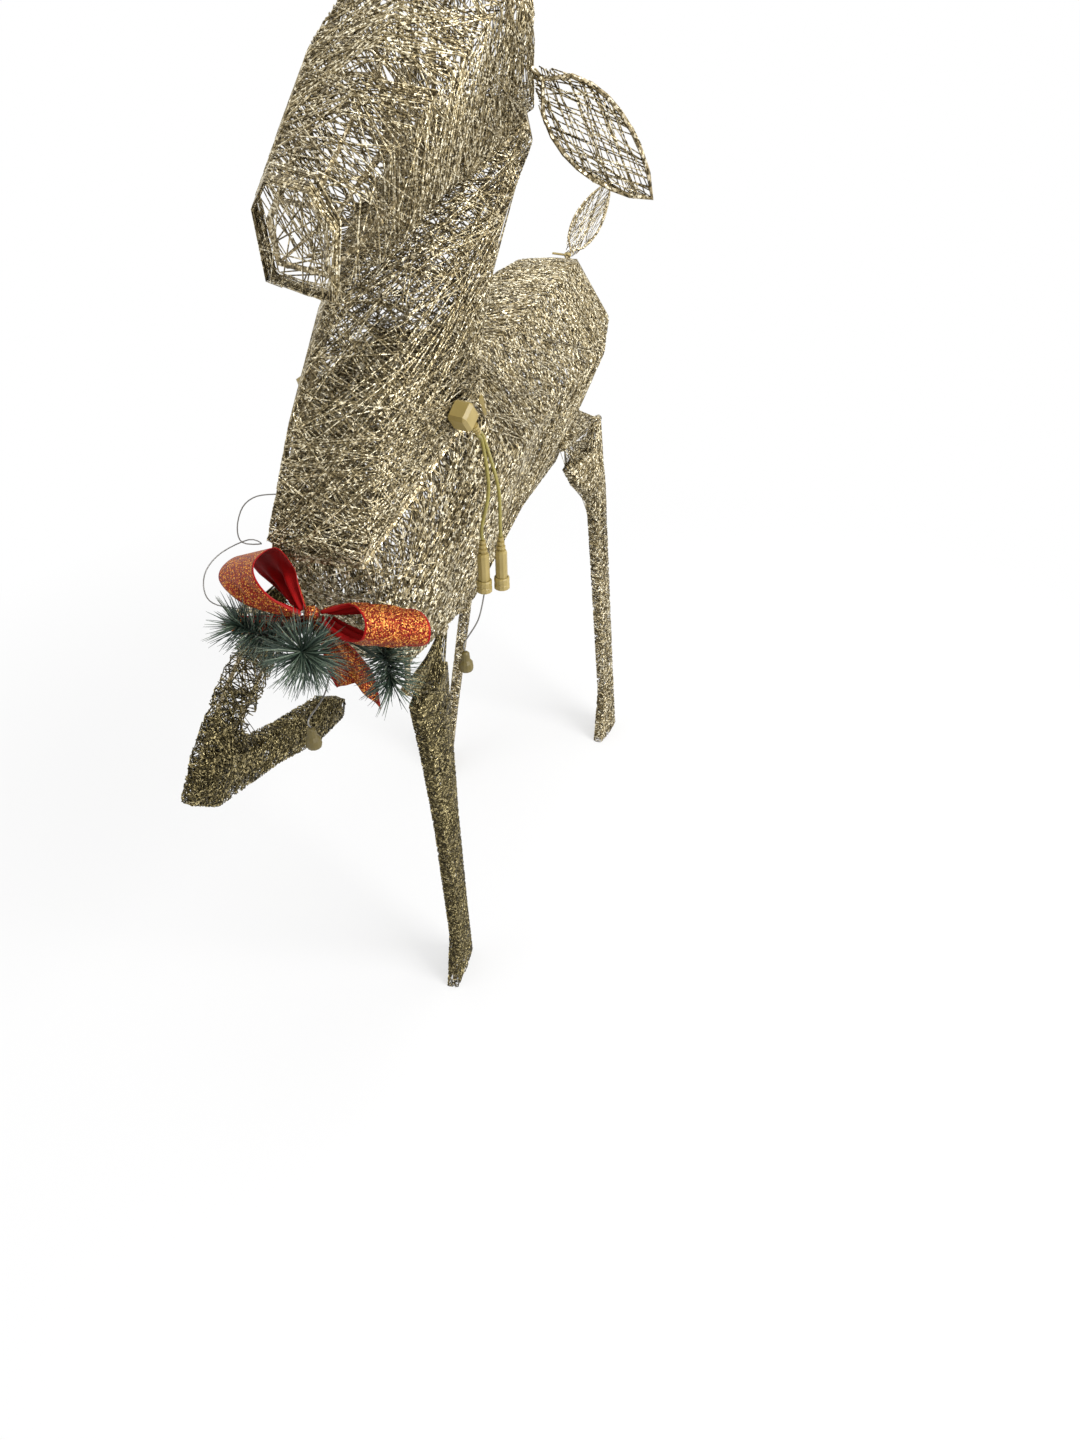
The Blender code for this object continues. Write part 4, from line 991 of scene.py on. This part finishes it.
@dataclass
class LeafNet:
    """Straight threads across a leaf-shaped wire.

    Attributes:
        leaf: The name of the ear or tail.
        body: The body it rides on.
        runs: How many threads are tried; those that would be too short are left out.
        leans: The directions of the threads from the leaf's length, in degrees.
        spread: How far each thread strays from its direction.
        thread: The thread's diameter.
        shortest: The least length of a thread.
        layer: How far threads lie from the leaf's middle plane.
    """

    leaf: str
    body: Body
    runs: int
    leans: tuple[float, ...]
    spread: float
    thread: float = 0.0012
    shortest: float = 0.012
    layer: float = 0.0008

    def build(self, rng: np.random.Generator) -> bpy.types.Object:
        """Strings the net over the leaf's wire.

        Args:
            rng: The random source.

        Returns:
            The piece.
        """
        points = points_and_edges(f"{self.leaf}_frame")[0]
        middle = points.mean(axis=0)
        length, width, thin = np.linalg.svd(points - middle, full_matrices=False)[2]
        flat = np.stack(((points - middle) @ length, (points - middle) @ width), axis=1)
        rim = flat[tight_outline(flat)]
        strands = Strands(self.thread / 2)
        for k in range(self.runs):
            lean = math.radians(self.leans[k % len(self.leans)] + rng.normal(0, self.spread))
            way = np.array((math.cos(lean), math.sin(lean)))
            normal = np.array((-way[1], way[0]))
            offsets = rim @ normal
            at = rng.uniform(offsets.min(), offsets.max())
            ends = self.crossings(rim, offsets - at)
            if len(ends) < 2 or np.linalg.norm(ends[0] - ends[1]) < self.shortest:
                continue
            first, last = ends[0], ends[1]
            inset = unit(last - first) * self.thread
            lift = thin * rng.uniform(-self.layer, self.layer)
            line = [middle + length * p[0] + width * p[1] + lift for p in (first + inset, last - inset)]
            strands.add(np.array(line), closed=False, shade=rng.random())
        piece = show(strands.mesh(f"{self.leaf}_net_threads"), self.body, [THREAD])
        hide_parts(f"{self.leaf}_net")
        LOG.info("%s: %d threads", piece.name, len(strands.points))
        return piece

    @staticmethod
    def crossings(rim: np.ndarray, sides: np.ndarray) -> list[np.ndarray]:
        """Where a line crosses the rim.

        Args:
            rim: The rim's corners in order.
            sides: How far each corner lies to one side of the line.

        Returns:
            The crossing points.
        """
        found = []
        for k in range(len(rim)):
            a, b = sides[k - 1], sides[k]
            if a * b < 0:
                found.append(rim[k - 1] + (rim[k] - rim[k - 1]) * (a / (a - b)))
        return found


@dataclass
class FreeCord:
    """A cord or tether that hangs free.

    Attributes:
        node: The CAD node it replaces.
        name: The piece's name.
        body: The body it rides on.
        width: Its diameter in metres.
        finish: Its finish.
        slot: Its material slot; not used.
        far_end: What its far end holds; not used.
        route: The points that it passes, from where it leaves the object.
        carries: The CAD nodes on its far end; not used.
        stiffness: How it bends; not used.
        lay: How it lies; not used.
        steps: How many pieces lie between two points of the route.
        sides: How many sides it has.
    """

    node: str
    name: str
    body: Body
    width: float
    finish: Finish
    slot: Slot
    far_end: FarEnd
    route: tuple[Place, ...]
    carries: tuple[str, ...] = ()
    stiffness: Stiffness = Stiffness.MEDIUM
    lay: Lay = Lay.HANGING
    steps: int = 8
    sides: int = 12

    def build(self) -> bpy.types.Object:
        """Returns:
            The piece.
        """
        line = smooth_route(self.route, self.steps)
        strands = Strands(self.width / 2, self.sides)
        strands.add(line, closed=False)
        piece = show(strands.mesh(self.name), self.body, [self.finish])
        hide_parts(self.node)
        return piece


@dataclass(frozen=True)
class BowFace:
    """The bow's own frame, from its knot: along its face, up it and out of it.

    Attributes:
        turn: How far the face turns to one side, in degrees.
        lean: How far it leans back, in degrees.
    """

    turn: float = VIEW_TURN
    lean: float = VIEW_LEAN

    def axes(self) -> np.ndarray:
        """The frame's axes, as columns."""
        turn = Matrix.Rotation(math.radians(self.turn), 3, "Z")
        return np.array(turn @ Matrix.Rotation(math.radians(self.lean), 3, "X"))

    def put(self, places: np.ndarray) -> np.ndarray:
        """Moves places from the bow's frame to the row's frame."""
        low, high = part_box("bow_knot")
        return np.array((low + high) / 2) + np.asarray(places, float) @ self.axes().T


BOW_FACE = BowFace()


@dataclass
class Ribbon:
    """A strip of ribbon with a glitter face, a satin back and wired edges.

    Attributes:
        node: The CAD node it replaces.
        width: The ribbon's width in metres.
        thick: Its thickness.
        folds: How many gathers it has where it is pinched.
        cells: How many faces lie across it.
        edge: How many of them are its wired edge.
    """

    node: str
    width: float = RIBBON_WIDTH
    thick: float = 0.0006
    folds: float = 2.5
    cells: int = 32
    edge: int = 1

    def lay(
        self, near: np.ndarray, far: np.ndarray, outward: np.ndarray, cut: float = 0.0
    ) -> bpy.types.Object:
        """Lays the ribbon between two lines.

        Args:
            near: The points of its near edge.
            far: The points of its far edge.
            outward: A direction that its glitter face looks to, for each point.
            cut: How far the end is notched, or with a minus pointed.

        Returns:
            The piece.
        """
        share = np.linspace(0, 1, self.cells + 1)
        rows = near[:, None] + (far - near)[:, None] * share[None, :, None]
        path = (near + far) / 2
        way = unit(np.gradient(path, axis=0))
        normal = unit(np.cross(far - near, way))
        wide = np.maximum(np.linalg.norm(far - near, axis=1), NO_WIDTH)
        height = wide / (math.pi * self.folds) * np.sqrt(np.clip(self.width / wide - 1, 0, None))
        rows += normal[:, None] * (height[:, None] * np.sin(2 * math.pi * self.folds * share))[:, :, None]
        run = np.linspace(0, 1, len(path)) ** 3
        rows -= way[:, None] * (cut * run[:, None] * (1 - np.abs(2 * share - 1)))[:, :, None]
        row = self.cells + 1
        faces, bands = [], []
        for i in range(len(path) - 1):
            for k in range(self.cells):
                at = i * row + k
                faces.append([at, at + 1, at + row + 1, at + row])
                bands.append(FACE_BAND if self.edge <= k < self.cells - self.edge else EDGE_BAND)
        if np.sum(normal * outward) < 0:
            faces = [face[::-1] for face in faces]
        mesh = mesh_of(f"{self.node}_ribbon", rows.reshape(-1, 3), faces)
        piece = show(mesh, Body.TORSO, RIBBON_FINISHES)
        mesh.polygons.foreach_set("material_index", bands)
        solid = piece.modifiers.new("thickness", "SOLIDIFY")
        solid.thickness = self.thick
        solid.offset = 0.0
        solid.material_offset = 1
        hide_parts(self.node)
        return piece


@dataclass
class BowLoop:
    """A loop of ribbon, pinched at the knot and rolled round a line that leads out and back.

    Attributes:
        side: The loop's side.
        way: The way its width runs, in the bow's frame.
        stations: Places of its near edge, each with its share of the width.
        face: The bow's frame.
    """

    side: Side
    way: Place
    stations: tuple[tuple[Place, float], ...]
    face: BowFace = BOW_FACE

    def build(self) -> bpy.types.Object:
        """Rolls the loop.

        Returns:
            The piece.
        """
        ribbon = Ribbon(f"bow_loop_{self.side.value}")
        near = smooth_route([place for place, _ in self.stations])
        shares = smooth_route([(share, 0.0, 0.0) for _, share in self.stations])[:, :1]
        far = near + unit(np.array(self.way)) * ribbon.width * shares
        near, far = self.face.put(near), self.face.put(far)
        middle = (near + far) / 2
        return ribbon.lay(near, far, middle - middle.mean(axis=0))


@dataclass
class BowTail:
    """An end of ribbon that runs from the knot and opens out to its cut end.

    Attributes:
        side: The tail's side.
        cut: How far its end is notched, or with a minus pointed.
        edges: Places of its two edges, in the bow's frame.
        face: The bow's frame.
    """

    side: Side
    cut: float
    edges: tuple[tuple[Place, Place], ...]
    face: BowFace = BOW_FACE

    def build(self) -> bpy.types.Object:
        """Lays the tail."""
        near, far = (self.face.put(smooth_route(edge)) for edge in zip(*self.edges))
        return Ribbon(f"bow_tail_{self.side.value}").lay(near, far, self.face.axes()[:, 2], self.cut)


@dataclass
class PineSprig:
    """A short stem set with pine needles.

    Attributes:
        number: The sprig's number.
        offset: Its middle, in the bow's frame.
        way: The direction it points, in the bow's frame.
        root: Where its stem meets the knot, in the bow's frame.
        leans: The least and most that needles lean to the tip, in degrees.
        needles: How many needles it has.
        length: The stem's needled length.
        needle: A needle's length.
        thick: A needle's thickness.
        fan: How much more needles lean at the tip than at the foot, in degrees.
        shares: The least and most of the needle's length that a needle has.
        bend: The most a needle bends, as a share of its length.
        stem_taper: The stem's thickness over a needle's, from its root to its tip.
        stem_shade: How bright the stem is, from 0 to 1.
        taper: The share of a needle's thickness, from its foot to its tip.
        face: The bow's frame.
    """

    number: int
    offset: Place
    way: Place
    root: Place
    leans: Span = (-15.0, 35.0)
    needles: int = 320
    length: float = 0.044
    needle: float = 0.036
    thick: float = 0.0012
    fan: float = 60.0
    shares: Span = (0.7, 1.0)
    bend: float = 0.08
    stem_taper: tuple[float, ...] = (2.6, 2.6, 1.4)
    stem_shade: float = 0.2
    taper: tuple[float, ...] = (0.8, 1.0, 0.25)
    face: BowFace = BOW_FACE

    def build(self, rng: np.random.Generator) -> bpy.types.Object:
        """Sets the needles round the stem.

        Args:
            rng: The random source.

        Returns:
            The piece.
        """
        node = f"pine_sprig_{self.number}"
        middle, root = self.face.put(np.array((self.offset, self.root)))
        way = unit(self.face.axes() @ np.array(self.way))
        out = square_to(way)
        strands = Strands(self.thick / 2)
        tip = middle + way * self.length / 2
        stem = np.array([root, middle, tip])
        strands.add(stem, closed=False, taper=self.stem_taper, shade=self.stem_shade)
        for _ in range(self.needles):
            spin = rng.uniform(0, 2 * math.pi)
            radial = out * math.cos(spin) + np.cross(way, out) * math.sin(spin)
            at = rng.uniform(-0.5, 0.5)
            lean = math.radians(rng.uniform(*self.leans) + self.fan * at)
            aim = radial * math.cos(lean) + way * math.sin(lean)
            length = self.needle * rng.uniform(*self.shares)
            base = middle + way * (at * self.length)
            bend = np.cross(aim, way) * rng.uniform(-self.bend, self.bend) * length
            line = np.array([base, base + aim * length * 0.5 + bend, base + aim * length])
            strands.add(line, closed=False, taper=self.taper, shade=rng.random())
        piece = show(strands.mesh(f"{node}_needles"), Body.TORSO, [NEEDLES])
        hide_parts(node)
        LOG.info("%s: %d needles", piece.name, self.needles)
        return piece


@dataclass(frozen=True)
class SoftLight:
    """A square soft light.

    Attributes:
        name: The light's name.
        at: Its place.
        aim: The point it faces.
        side: Its side in metres.
        power: Its power in watts.
    """

    name: str
    at: Place
    aim: Place
    side: float
    power: float

    def hang(self) -> None:
        """Hangs the light and turns it to the point that it faces."""
        data = bpy.data.lights.new(self.name, "AREA")
        data.size = self.side
        data.energy = self.power
        lamp = add_object(self.name, data)
        lamp.location = self.at
        lamp.rotation_euler = (Vector(self.aim) - Vector(self.at)).to_track_quat("-Z", "Y").to_euler()


@dataclass(frozen=True)
class FrontCamera:
    """The camera, where the picture was taken from.

    Attributes:
        at: Its place.
        lean: How far it is tipped up from looking straight down, in degrees.
        turn: How far it turns to one side, in degrees.
        lens: Its lens in millimetres.
        sensor: Its sensor's width in millimetres.
        clip: The nearest and farthest that it sees, in metres.
    """

    at: Place = (0.312140, -1.119053, 1.13)
    lean: float = VIEW_LEAN
    turn: float = VIEW_TURN
    lens: float = 22.375
    sensor: float = 36.0
    clip: Span = (0.05, 500.0)

    def stand(self) -> None:
        """Puts the camera in its place and makes it the scene's."""
        data = bpy.data.cameras.new("front_camera")
        data.sensor_width = self.sensor
        data.lens = self.lens
        data.clip_start, data.clip_end = self.clip
        camera = add_object("front_camera", data)
        camera.location = self.at
        camera.rotation_euler = (math.radians(self.lean), 0.0, math.radians(self.turn))
        bpy.context.scene.camera = camera


@dataclass
class Studio:
    """The pale floor, the soft lights and the camera.

    Attributes:
        floor_side: The floor's side in metres.
        grey: The floor's own paleness.
        roughness: The floor's roughness.
        glow: The share of the floor that shows white, under the deer and away from it.
        fade: How far from the middle the two shares lie.
        sky: The strength of the even light.
        lights: The soft lights.
        camera: The camera.
    """

    floor_side: float = 400.0
    grey: float = 0.86
    roughness: float = 0.9
    glow: Span = (0.62, 1.0)
    fade: Span = (0.5, 1.5)
    sky: float = 0.56
    lights: tuple[SoftLight, ...] = (
        SoftLight("key_light", at=(2.4, -0.7, 2.3), aim=(0.0, 0.0, 0.6), side=1.8, power=86.0),
        SoftLight("fill_light", at=(-2.2, -1.6, 2.2), aim=(0.0, 0.0, 0.6), side=2.0, power=10.0),
        SoftLight("top_light", at=(0.2, 0.6, 3.4), aim=(0.0, 0.0, 0.5), side=2.2, power=33.0),
    )
    camera: FrontCamera = FrontCamera()

    def lay_floor(self) -> None:
        """Lays a pale floor that keeps the deer's shadow."""
        half = self.floor_side / 2
        corners = np.array([(-half, -half, 0), (half, -half, 0), (half, half, 0), (-half, half, 0)], float)
        mesh = mesh_of("pale_floor", corners, [(0, 1, 2, 3)])
        floor = add_object("pale_floor", mesh)
        graph = Graph("pale floor")
        pale = (self.grey, self.grey, self.grey, 1.0)
        graph.set_surface(Base_Color=pale, Roughness=self.roughness, Specular_IOR_Level=0.0)
        shine = graph.add("Emission", {"Color": WHITE, "Strength": 1.0})
        mix = graph.add("MixShader")
        away = graph.add("VectorMath", operation="LENGTH")
        graph.join(graph.place(), away.inputs[0])
        ends = dict(zip(("From Min", "From Max", "To Min", "To Max"), (*self.fade, *self.glow)))
        share = graph.add("MapRange", ends)
        graph.join(away.outputs["Value"], share.inputs["Value"])
        seen = graph.add("Math", operation="MULTIPLY")
        graph.join(self.background_rays(graph.tree), seen.inputs[0])
        graph.join(share.outputs["Result"], seen.inputs[1])
        graph.join(seen.outputs["Value"], mix.inputs["Fac"])
        graph.join(graph.surface.outputs[0], mix.inputs[1])
        graph.join(shine.outputs[0], mix.inputs[2])
        graph.join(mix.outputs[0], graph.out.inputs[0])
        mesh.materials.append(graph.material)

    def light_world(self) -> None:
        """Lights the room evenly and shows white behind the floor."""
        world = bpy.data.worlds.new("white studio")
        bpy.context.scene.world = world
        world.use_nodes = True
        tree = world.node_tree
        tree.nodes.clear()
        back = tree.nodes.new("ShaderNodeBackground")
        back.inputs["Color"].default_value = WHITE
        level = tree.nodes.new("ShaderNodeMapRange")
        level.inputs["To Min"].default_value = self.sky
        level.inputs["To Max"].default_value = 1.0
        out = tree.nodes.new("ShaderNodeOutputWorld")
        tree.links.new(self.background_rays(tree), level.inputs["Value"])
        tree.links.new(level.outputs["Result"], back.inputs["Strength"])
        tree.links.new(back.outputs[0], out.inputs[0])

    @staticmethod
    def background_rays(tree: bpy.types.NodeTree) -> Socket:
        """Tells rays that show the background from rays that light the deer.

        Args:
            tree: The nodes of the floor or the world.

        Returns:
            One for rays from the camera, off gloss or through glass, and nought for the rest.
        """
        path = tree.nodes.new("ShaderNodeLightPath")
        total = path.outputs["Is Camera Ray"]
        for name in ("Is Glossy Ray", "Is Transmission Ray"):
            either = tree.nodes.new("ShaderNodeMath")
            either.use_clamp = True
            tree.links.new(total, either.inputs[0])
            tree.links.new(path.outputs[name], either.inputs[1])
            total = either.outputs["Value"]
        return total

    def build(self) -> None:
        """Sets up the studio."""
        self.lay_floor()
        self.light_world()
        for light in self.lights:
            light.hang()
        self.camera.stand()
        bpy.context.scene.view_settings.view_transform = "Standard"
        LOG.info("studio: floor, even light, %d lights and the camera", len(self.lights))


def hip_winding(leg: str, cover: float, tilt: float, span: Span, finish: RunGlitter) -> Winding:
    """The thread round the top of a leg.

    Args:
        leg: The leg's name.
        cover: The thread's area over the skin's.
        tilt: The most a turn leans, in degrees.
        span: The share of the leg's height that it covers.
        finish: The thread's finish.

    Returns:
        The winding.
    """
    return Winding(
        f"{leg}_hip_winding",
        f"leg_{leg}_thread",
        Body(f"leg_{leg}"),
        cover,
        tilt,
        axis=UPRIGHT,
        over=(f"leg_{leg}_frame",),
        span=span,
        keeps_skin=True,
        finish=finish,
    )


def hind_windings(side: Side) -> tuple[Winding, ...]:
    """The thread of a hind leg, of its hip and of the web over its sleeves.

    Args:
        side: The leg's side.

    Returns:
        The three windings.
    """
    leg = f"hind_{side.value}"
    thigh = Winding(
        f"{leg}_winding",
        f"leg_{leg}_thread",
        Body(f"leg_{leg}"),
        cover=2.1,
        tilt=50.0,
        wind=Wind.LIMB,
        reach=0.12,
        over=(f"leg_{leg}_frame",),
        finish=COARSE_THREAD,
    )
    web = Winding(
        f"{leg}_hip_web",
        f"hip_sleeve_{leg}_front",
        Body.TORSO,
        cover=60.0,
        tilt=14.0,
        axis=SIDEWAYS,
        over=(f"hip_sleeve_{leg}_rear",),
        keeps_skin=True,
        finish=COARSE_THREAD,
    )
    hip = hip_winding(leg, cover=3.0, tilt=25.0, span=(0.91, 0.995), finish=COARSE_THREAD)
    return thigh, hip, web


def lead(number: int, route: tuple[Place, ...]) -> FreeCord:
    """A lead cord with its connector.

    Args:
        number: The lead's number.
        route: The points that it passes, from the box.

    Returns:
        The cord.
    """
    name = f"lead_{number}"
    return FreeCord(
        f"{name}_cord",
        f"{name}_cable",
        Body.NECK,
        LEAD_WIDTH,
        CORD,
        Slot.CORD,
        FarEnd.CONNECTOR,
        route,
        carries=(f"{name}_body", f"{name}_collar"),
    )


def tether(number: int, body: Body, route: tuple[Place, ...]) -> FreeCord:
    """A thin tether with its end cap.

    Args:
        number: The cap's number.
        body: The body that it hangs from.
        route: The points that it passes, from where it hangs.

    Returns:
        The tether.
    """
    cap = f"cap_{number}"
    return FreeCord(
        f"{cap}_tether",
        f"{cap}_tether_wire",
        body,
        TETHER_WIDTH,
        GREY_WIRE,
        Slot.GREY_WIRE,
        FarEnd.FITTING,
        route,
        carries=(cap,),
    )


WINDINGS = (
    Winding(
        "body_winding",
        "body_thread",
        Body.TORSO,
        cover=1.8,
        tilt=72.0,
        axis=(0.0, 1.0, 0.0),
        over=("body_frame",),
        thread=0.0015,
        finish=COARSE_THREAD,
    ),
    Winding(
        "neck_winding",
        "neck_thread",
        Body.NECK,
        cover=1.9,
        tilt=62.0,
        axis=(0.0, 0.3, 0.95),
        over=("neck_frame",),
    ),
    Winding(
        "head_winding",
        "head_thread",
        Body.NECK,
        cover=1.05,
        tilt=55.0,
        axis=(-0.19, -0.86, -0.47),
        over=("head_frame",),
        gaps=(((-0.034, -0.462, 0.992), 0.055),),
    ),
    Winding(
        "muzzle_rim_winding",
        "head_thread",
        Body.NECK,
        cover=2.2,
        tilt=3.0,
        axis=(-0.51, -0.86, 0.04),
        over=("head_frame",),
        span=(0.955, 0.992),
        keeps_skin=True,
    ),
    *(
        Winding(
            f"antler_{side.value}_winding",
            f"antler_{side.value}",
            Body.NECK,
            cover=1.2,
            wind=Wind.LIMB,
            reach=0.03,
            depth=0.0004,
            keeps_skin=True,
        )
        for side in Side
    ),
    # The forelegs and their hips take the thread with painted shade.
    Winding(
        "fore_left_winding",
        "leg_fore_left_thread",
        Body.FORE_LEFT,
        cover=2.1,
        tilt=50.0,
        over=("leg_fore_left_frame",),
        finish=PAINTED_SHADE_LEG_THREAD,
    ),
    hip_winding("fore_left", cover=3.0, tilt=25.0, span=(0.90, 0.995), finish=PAINTED_SHADE_LEG_THREAD),
    Winding(
        "fore_right_winding",
        "leg_fore_right_thread",
        Body.FORE_RIGHT,
        cover=1.9,
        wind=Wind.LIMB,
        reach=0.04,
        over=("leg_fore_right_frame",),
        gaps=(((-0.165, -0.465, 0.585), 0.016), ((-0.165, -0.485, 0.545), 0.014)),
        finish=PAINTED_SHADE_LEG_THREAD,
    ),
    hip_winding("fore_right", cover=2.0, tilt=15.0, span=(0.90, 0.99), finish=PAINTED_SHADE_LEG_THREAD),
    *(winding for side in Side for winding in hind_windings(side)),
)
NETS = (
    *(LeafNet(f"ear_{side.value}", Body.NECK, runs=66, leans=(-20.0, 20.0), spread=8.0) for side in Side),
    LeafNet("tail", Body.TORSO, runs=60, leans=(-8.0, 8.0), spread=7.0),
)
CORDS = (
    lead(
        1,
        (
            (0.0536, -0.3369, 0.8122),
            (0.0556, -0.3285, 0.8012),
            (0.0633, -0.3391, 0.7600),
            (0.0577, -0.3482, 0.7240),
            (0.0577, -0.3482, 0.7100),
        ),
    ),
    lead(
        2,
        (
            (0.0545, -0.3337, 0.8148),
            (0.0565, -0.3253, 0.8038),
            (0.0710, -0.3329, 0.7616),
            (0.0737, -0.3382, 0.7245),
            (0.0737, -0.3382, 0.7105),
        ),
    ),
    tether(
        1,
        Body.NECK,
        (
            (0.0577, -0.3482, 0.6506),
            (0.0531, -0.3598, 0.6226),
            (0.0407, -0.3722, 0.5994),
            (0.0407, -0.3722, 0.5885),
        ),
    ),
    tether(
        2,
        Body.TORSO,
        (
            (-0.0766, -0.4297, 0.6240),
            (-0.0747, -0.4724, 0.5865),
            (-0.0729, -0.5151, 0.5845),
            (-0.0729, -0.5151, 0.5736),
        ),
    ),
    FreeCord(
        "bow_tie_wire",
        "bow_tie_wire_strand",
        Body.TORSO,
        TIE_WIRE_WIDTH,
        GREY_WIRE,
        Slot.GREY_WIRE,
        FarEnd.OBJECT,
        (
            (-0.1157, -0.4221, 0.7721),
            (-0.1348, -0.4280, 0.7703),
            (-0.1458, -0.4372, 0.7626),
            (-0.1478, -0.4500, 0.7477),
            (-0.1438, -0.4534, 0.7345),
            (-0.1294, -0.4449, 0.7307),
            (-0.1449, -0.4408, 0.7309),
            (-0.1622, -0.4622, 0.7262),
            (-0.1697, -0.4814, 0.7166),
            (-0.1689, -0.4928, 0.7025),
            (-0.1608, -0.4961, 0.6913),
            (-0.1422, -0.4884, 0.6838),
            (-0.1042, -0.4754, 0.6799),
            (-0.0665, -0.4898, 0.6909),
            (-0.0488, -0.5108, 0.7056),
        ),
        stiffness=Stiffness.STIFF,
        lay=Lay.LOOSE,
        steps=4,
    ),
)
BOW = (
    BowLoop(
        Side.LEFT,
        way=(0.86, -0.03, -0.40),
        stations=(
            ((0.007, 0.002, 0.000), 0.20),
            ((0.028, 0.006, 0.012), 0.80),
            ((0.041, 0.004, 0.022), 1.00),
            ((0.052, -0.010, 0.030), 1.00),
            ((0.048, -0.026, 0.026), 1.00),
            ((0.030, -0.025, 0.011), 0.80),
            ((0.0125, -0.0135, 0.002), 0.45),
            ((0.007, -0.004, -0.005), 0.20),
        ),
    ),
    BowLoop(
        Side.RIGHT,
        way=(-0.74, 0.0, -0.67),
        stations=(
            ((-0.007, 0.003, -0.003), 0.20),
            ((-0.012, 0.025, 0.003), 0.60),
            ((-0.015, 0.039, 0.004), 0.95),
            ((-0.028, 0.055, 0.012), 1.00),
            ((-0.042, 0.044, 0.021), 1.00),
            ((-0.043, 0.029, 0.024), 1.00),
            ((-0.031, 0.012, 0.018), 0.80),
            ((-0.008, -0.001, 0.004), 0.20),
        ),
    ),
    BowTail(
        Side.LEFT,
        cut=0.016,
        edges=(
            ((-0.004, -0.008, -0.010), (0.004, -0.008, -0.010)),
            ((-0.007, -0.022, -0.060), (0.018, -0.022, -0.060)),
            ((-0.009, -0.043, -0.092), (0.036, -0.048, -0.092)),
            ((-0.001, -0.062, -0.100), (0.043, -0.084, -0.100)),
        ),
    ),
    BowTail(
        Side.RIGHT,
        cut=-0.012,
        edges=(
            ((-0.007, 0.000, -0.012), (-0.007, -0.010, -0.012)),
            ((-0.030, 0.002, -0.044), (-0.030, -0.016, -0.044)),
            ((-0.060, 0.004, -0.056), (-0.060, -0.014, -0.056)),
            ((-0.086, 0.003, -0.052), (-0.086, -0.012, -0.052)),
        ),
    ),
)
SPRIGS = (
    PineSprig(
        1,
        offset=(-0.006, -0.035, -0.008),
        way=(0.0, 0.0, 1.0),
        root=(0.0, -0.008, 0.0),
        leans=(-20.0, 20.0),
        needles=380,
        needle=0.046,
    ),
    PineSprig(2, offset=(0.058, -0.040, -0.045), way=(0.25, -0.95, 0.1), root=(0.0038, -0.008, 0.0)),
    PineSprig(3, offset=(-0.054, -0.016, -0.024), way=(-0.8, 0.35, 0.3), root=(-0.0038, -0.008, 0.0)),
)


def clear_startup() -> None:
    """Removes the startup scene's own objects."""
    for name in ("Cube", "Light", "Camera"):
        found = bpy.data.objects.get(name)
        if found and "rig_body" not in found:
            bpy.data.objects.remove(found)


def finish_of(name: str, slot: Slot) -> Finish:
    """The finish of a CAD node.

    Args:
        name: The node's name.
        slot: Its material slot.

    Returns:
        The frame's finish for the hip sleeves that sit on it, olive for the caps, or else the slot's finish.
    """
    if name.startswith("hip_sleeve"):
        return FRAME_WIRE
    if name in ("cap_1", "cap_2"):
        return CAP_PLASTIC
    return SLOT_FINISHES[slot]


def dress_nodes() -> None:
    """Gives every CAD node its finish."""
    for name, node in frame["nodes"].items():
        mesh = node.data
        for k, old in enumerate(mesh.materials):
            mesh.materials[k] = finish_of(name, Slot(old.name.split(".")[0])).material()
    LOG.info("%d CAD nodes dressed", len(frame["nodes"]))


def main() -> None:
    """Builds the visual piece by piece."""
    logging.basicConfig(level=logging.INFO, format="%(name)s: %(message)s")
    clear_startup()
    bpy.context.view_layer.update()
    rng = np.random.default_rng(SEED)
    dress_nodes()
    for part in (*WINDINGS, *NETS, *SPRIGS):
        part.build(rng)
    for piece in (*CORDS, *BOW):
        piece.build()
    Studio().build()


if __name__ == "__main__":
    main()
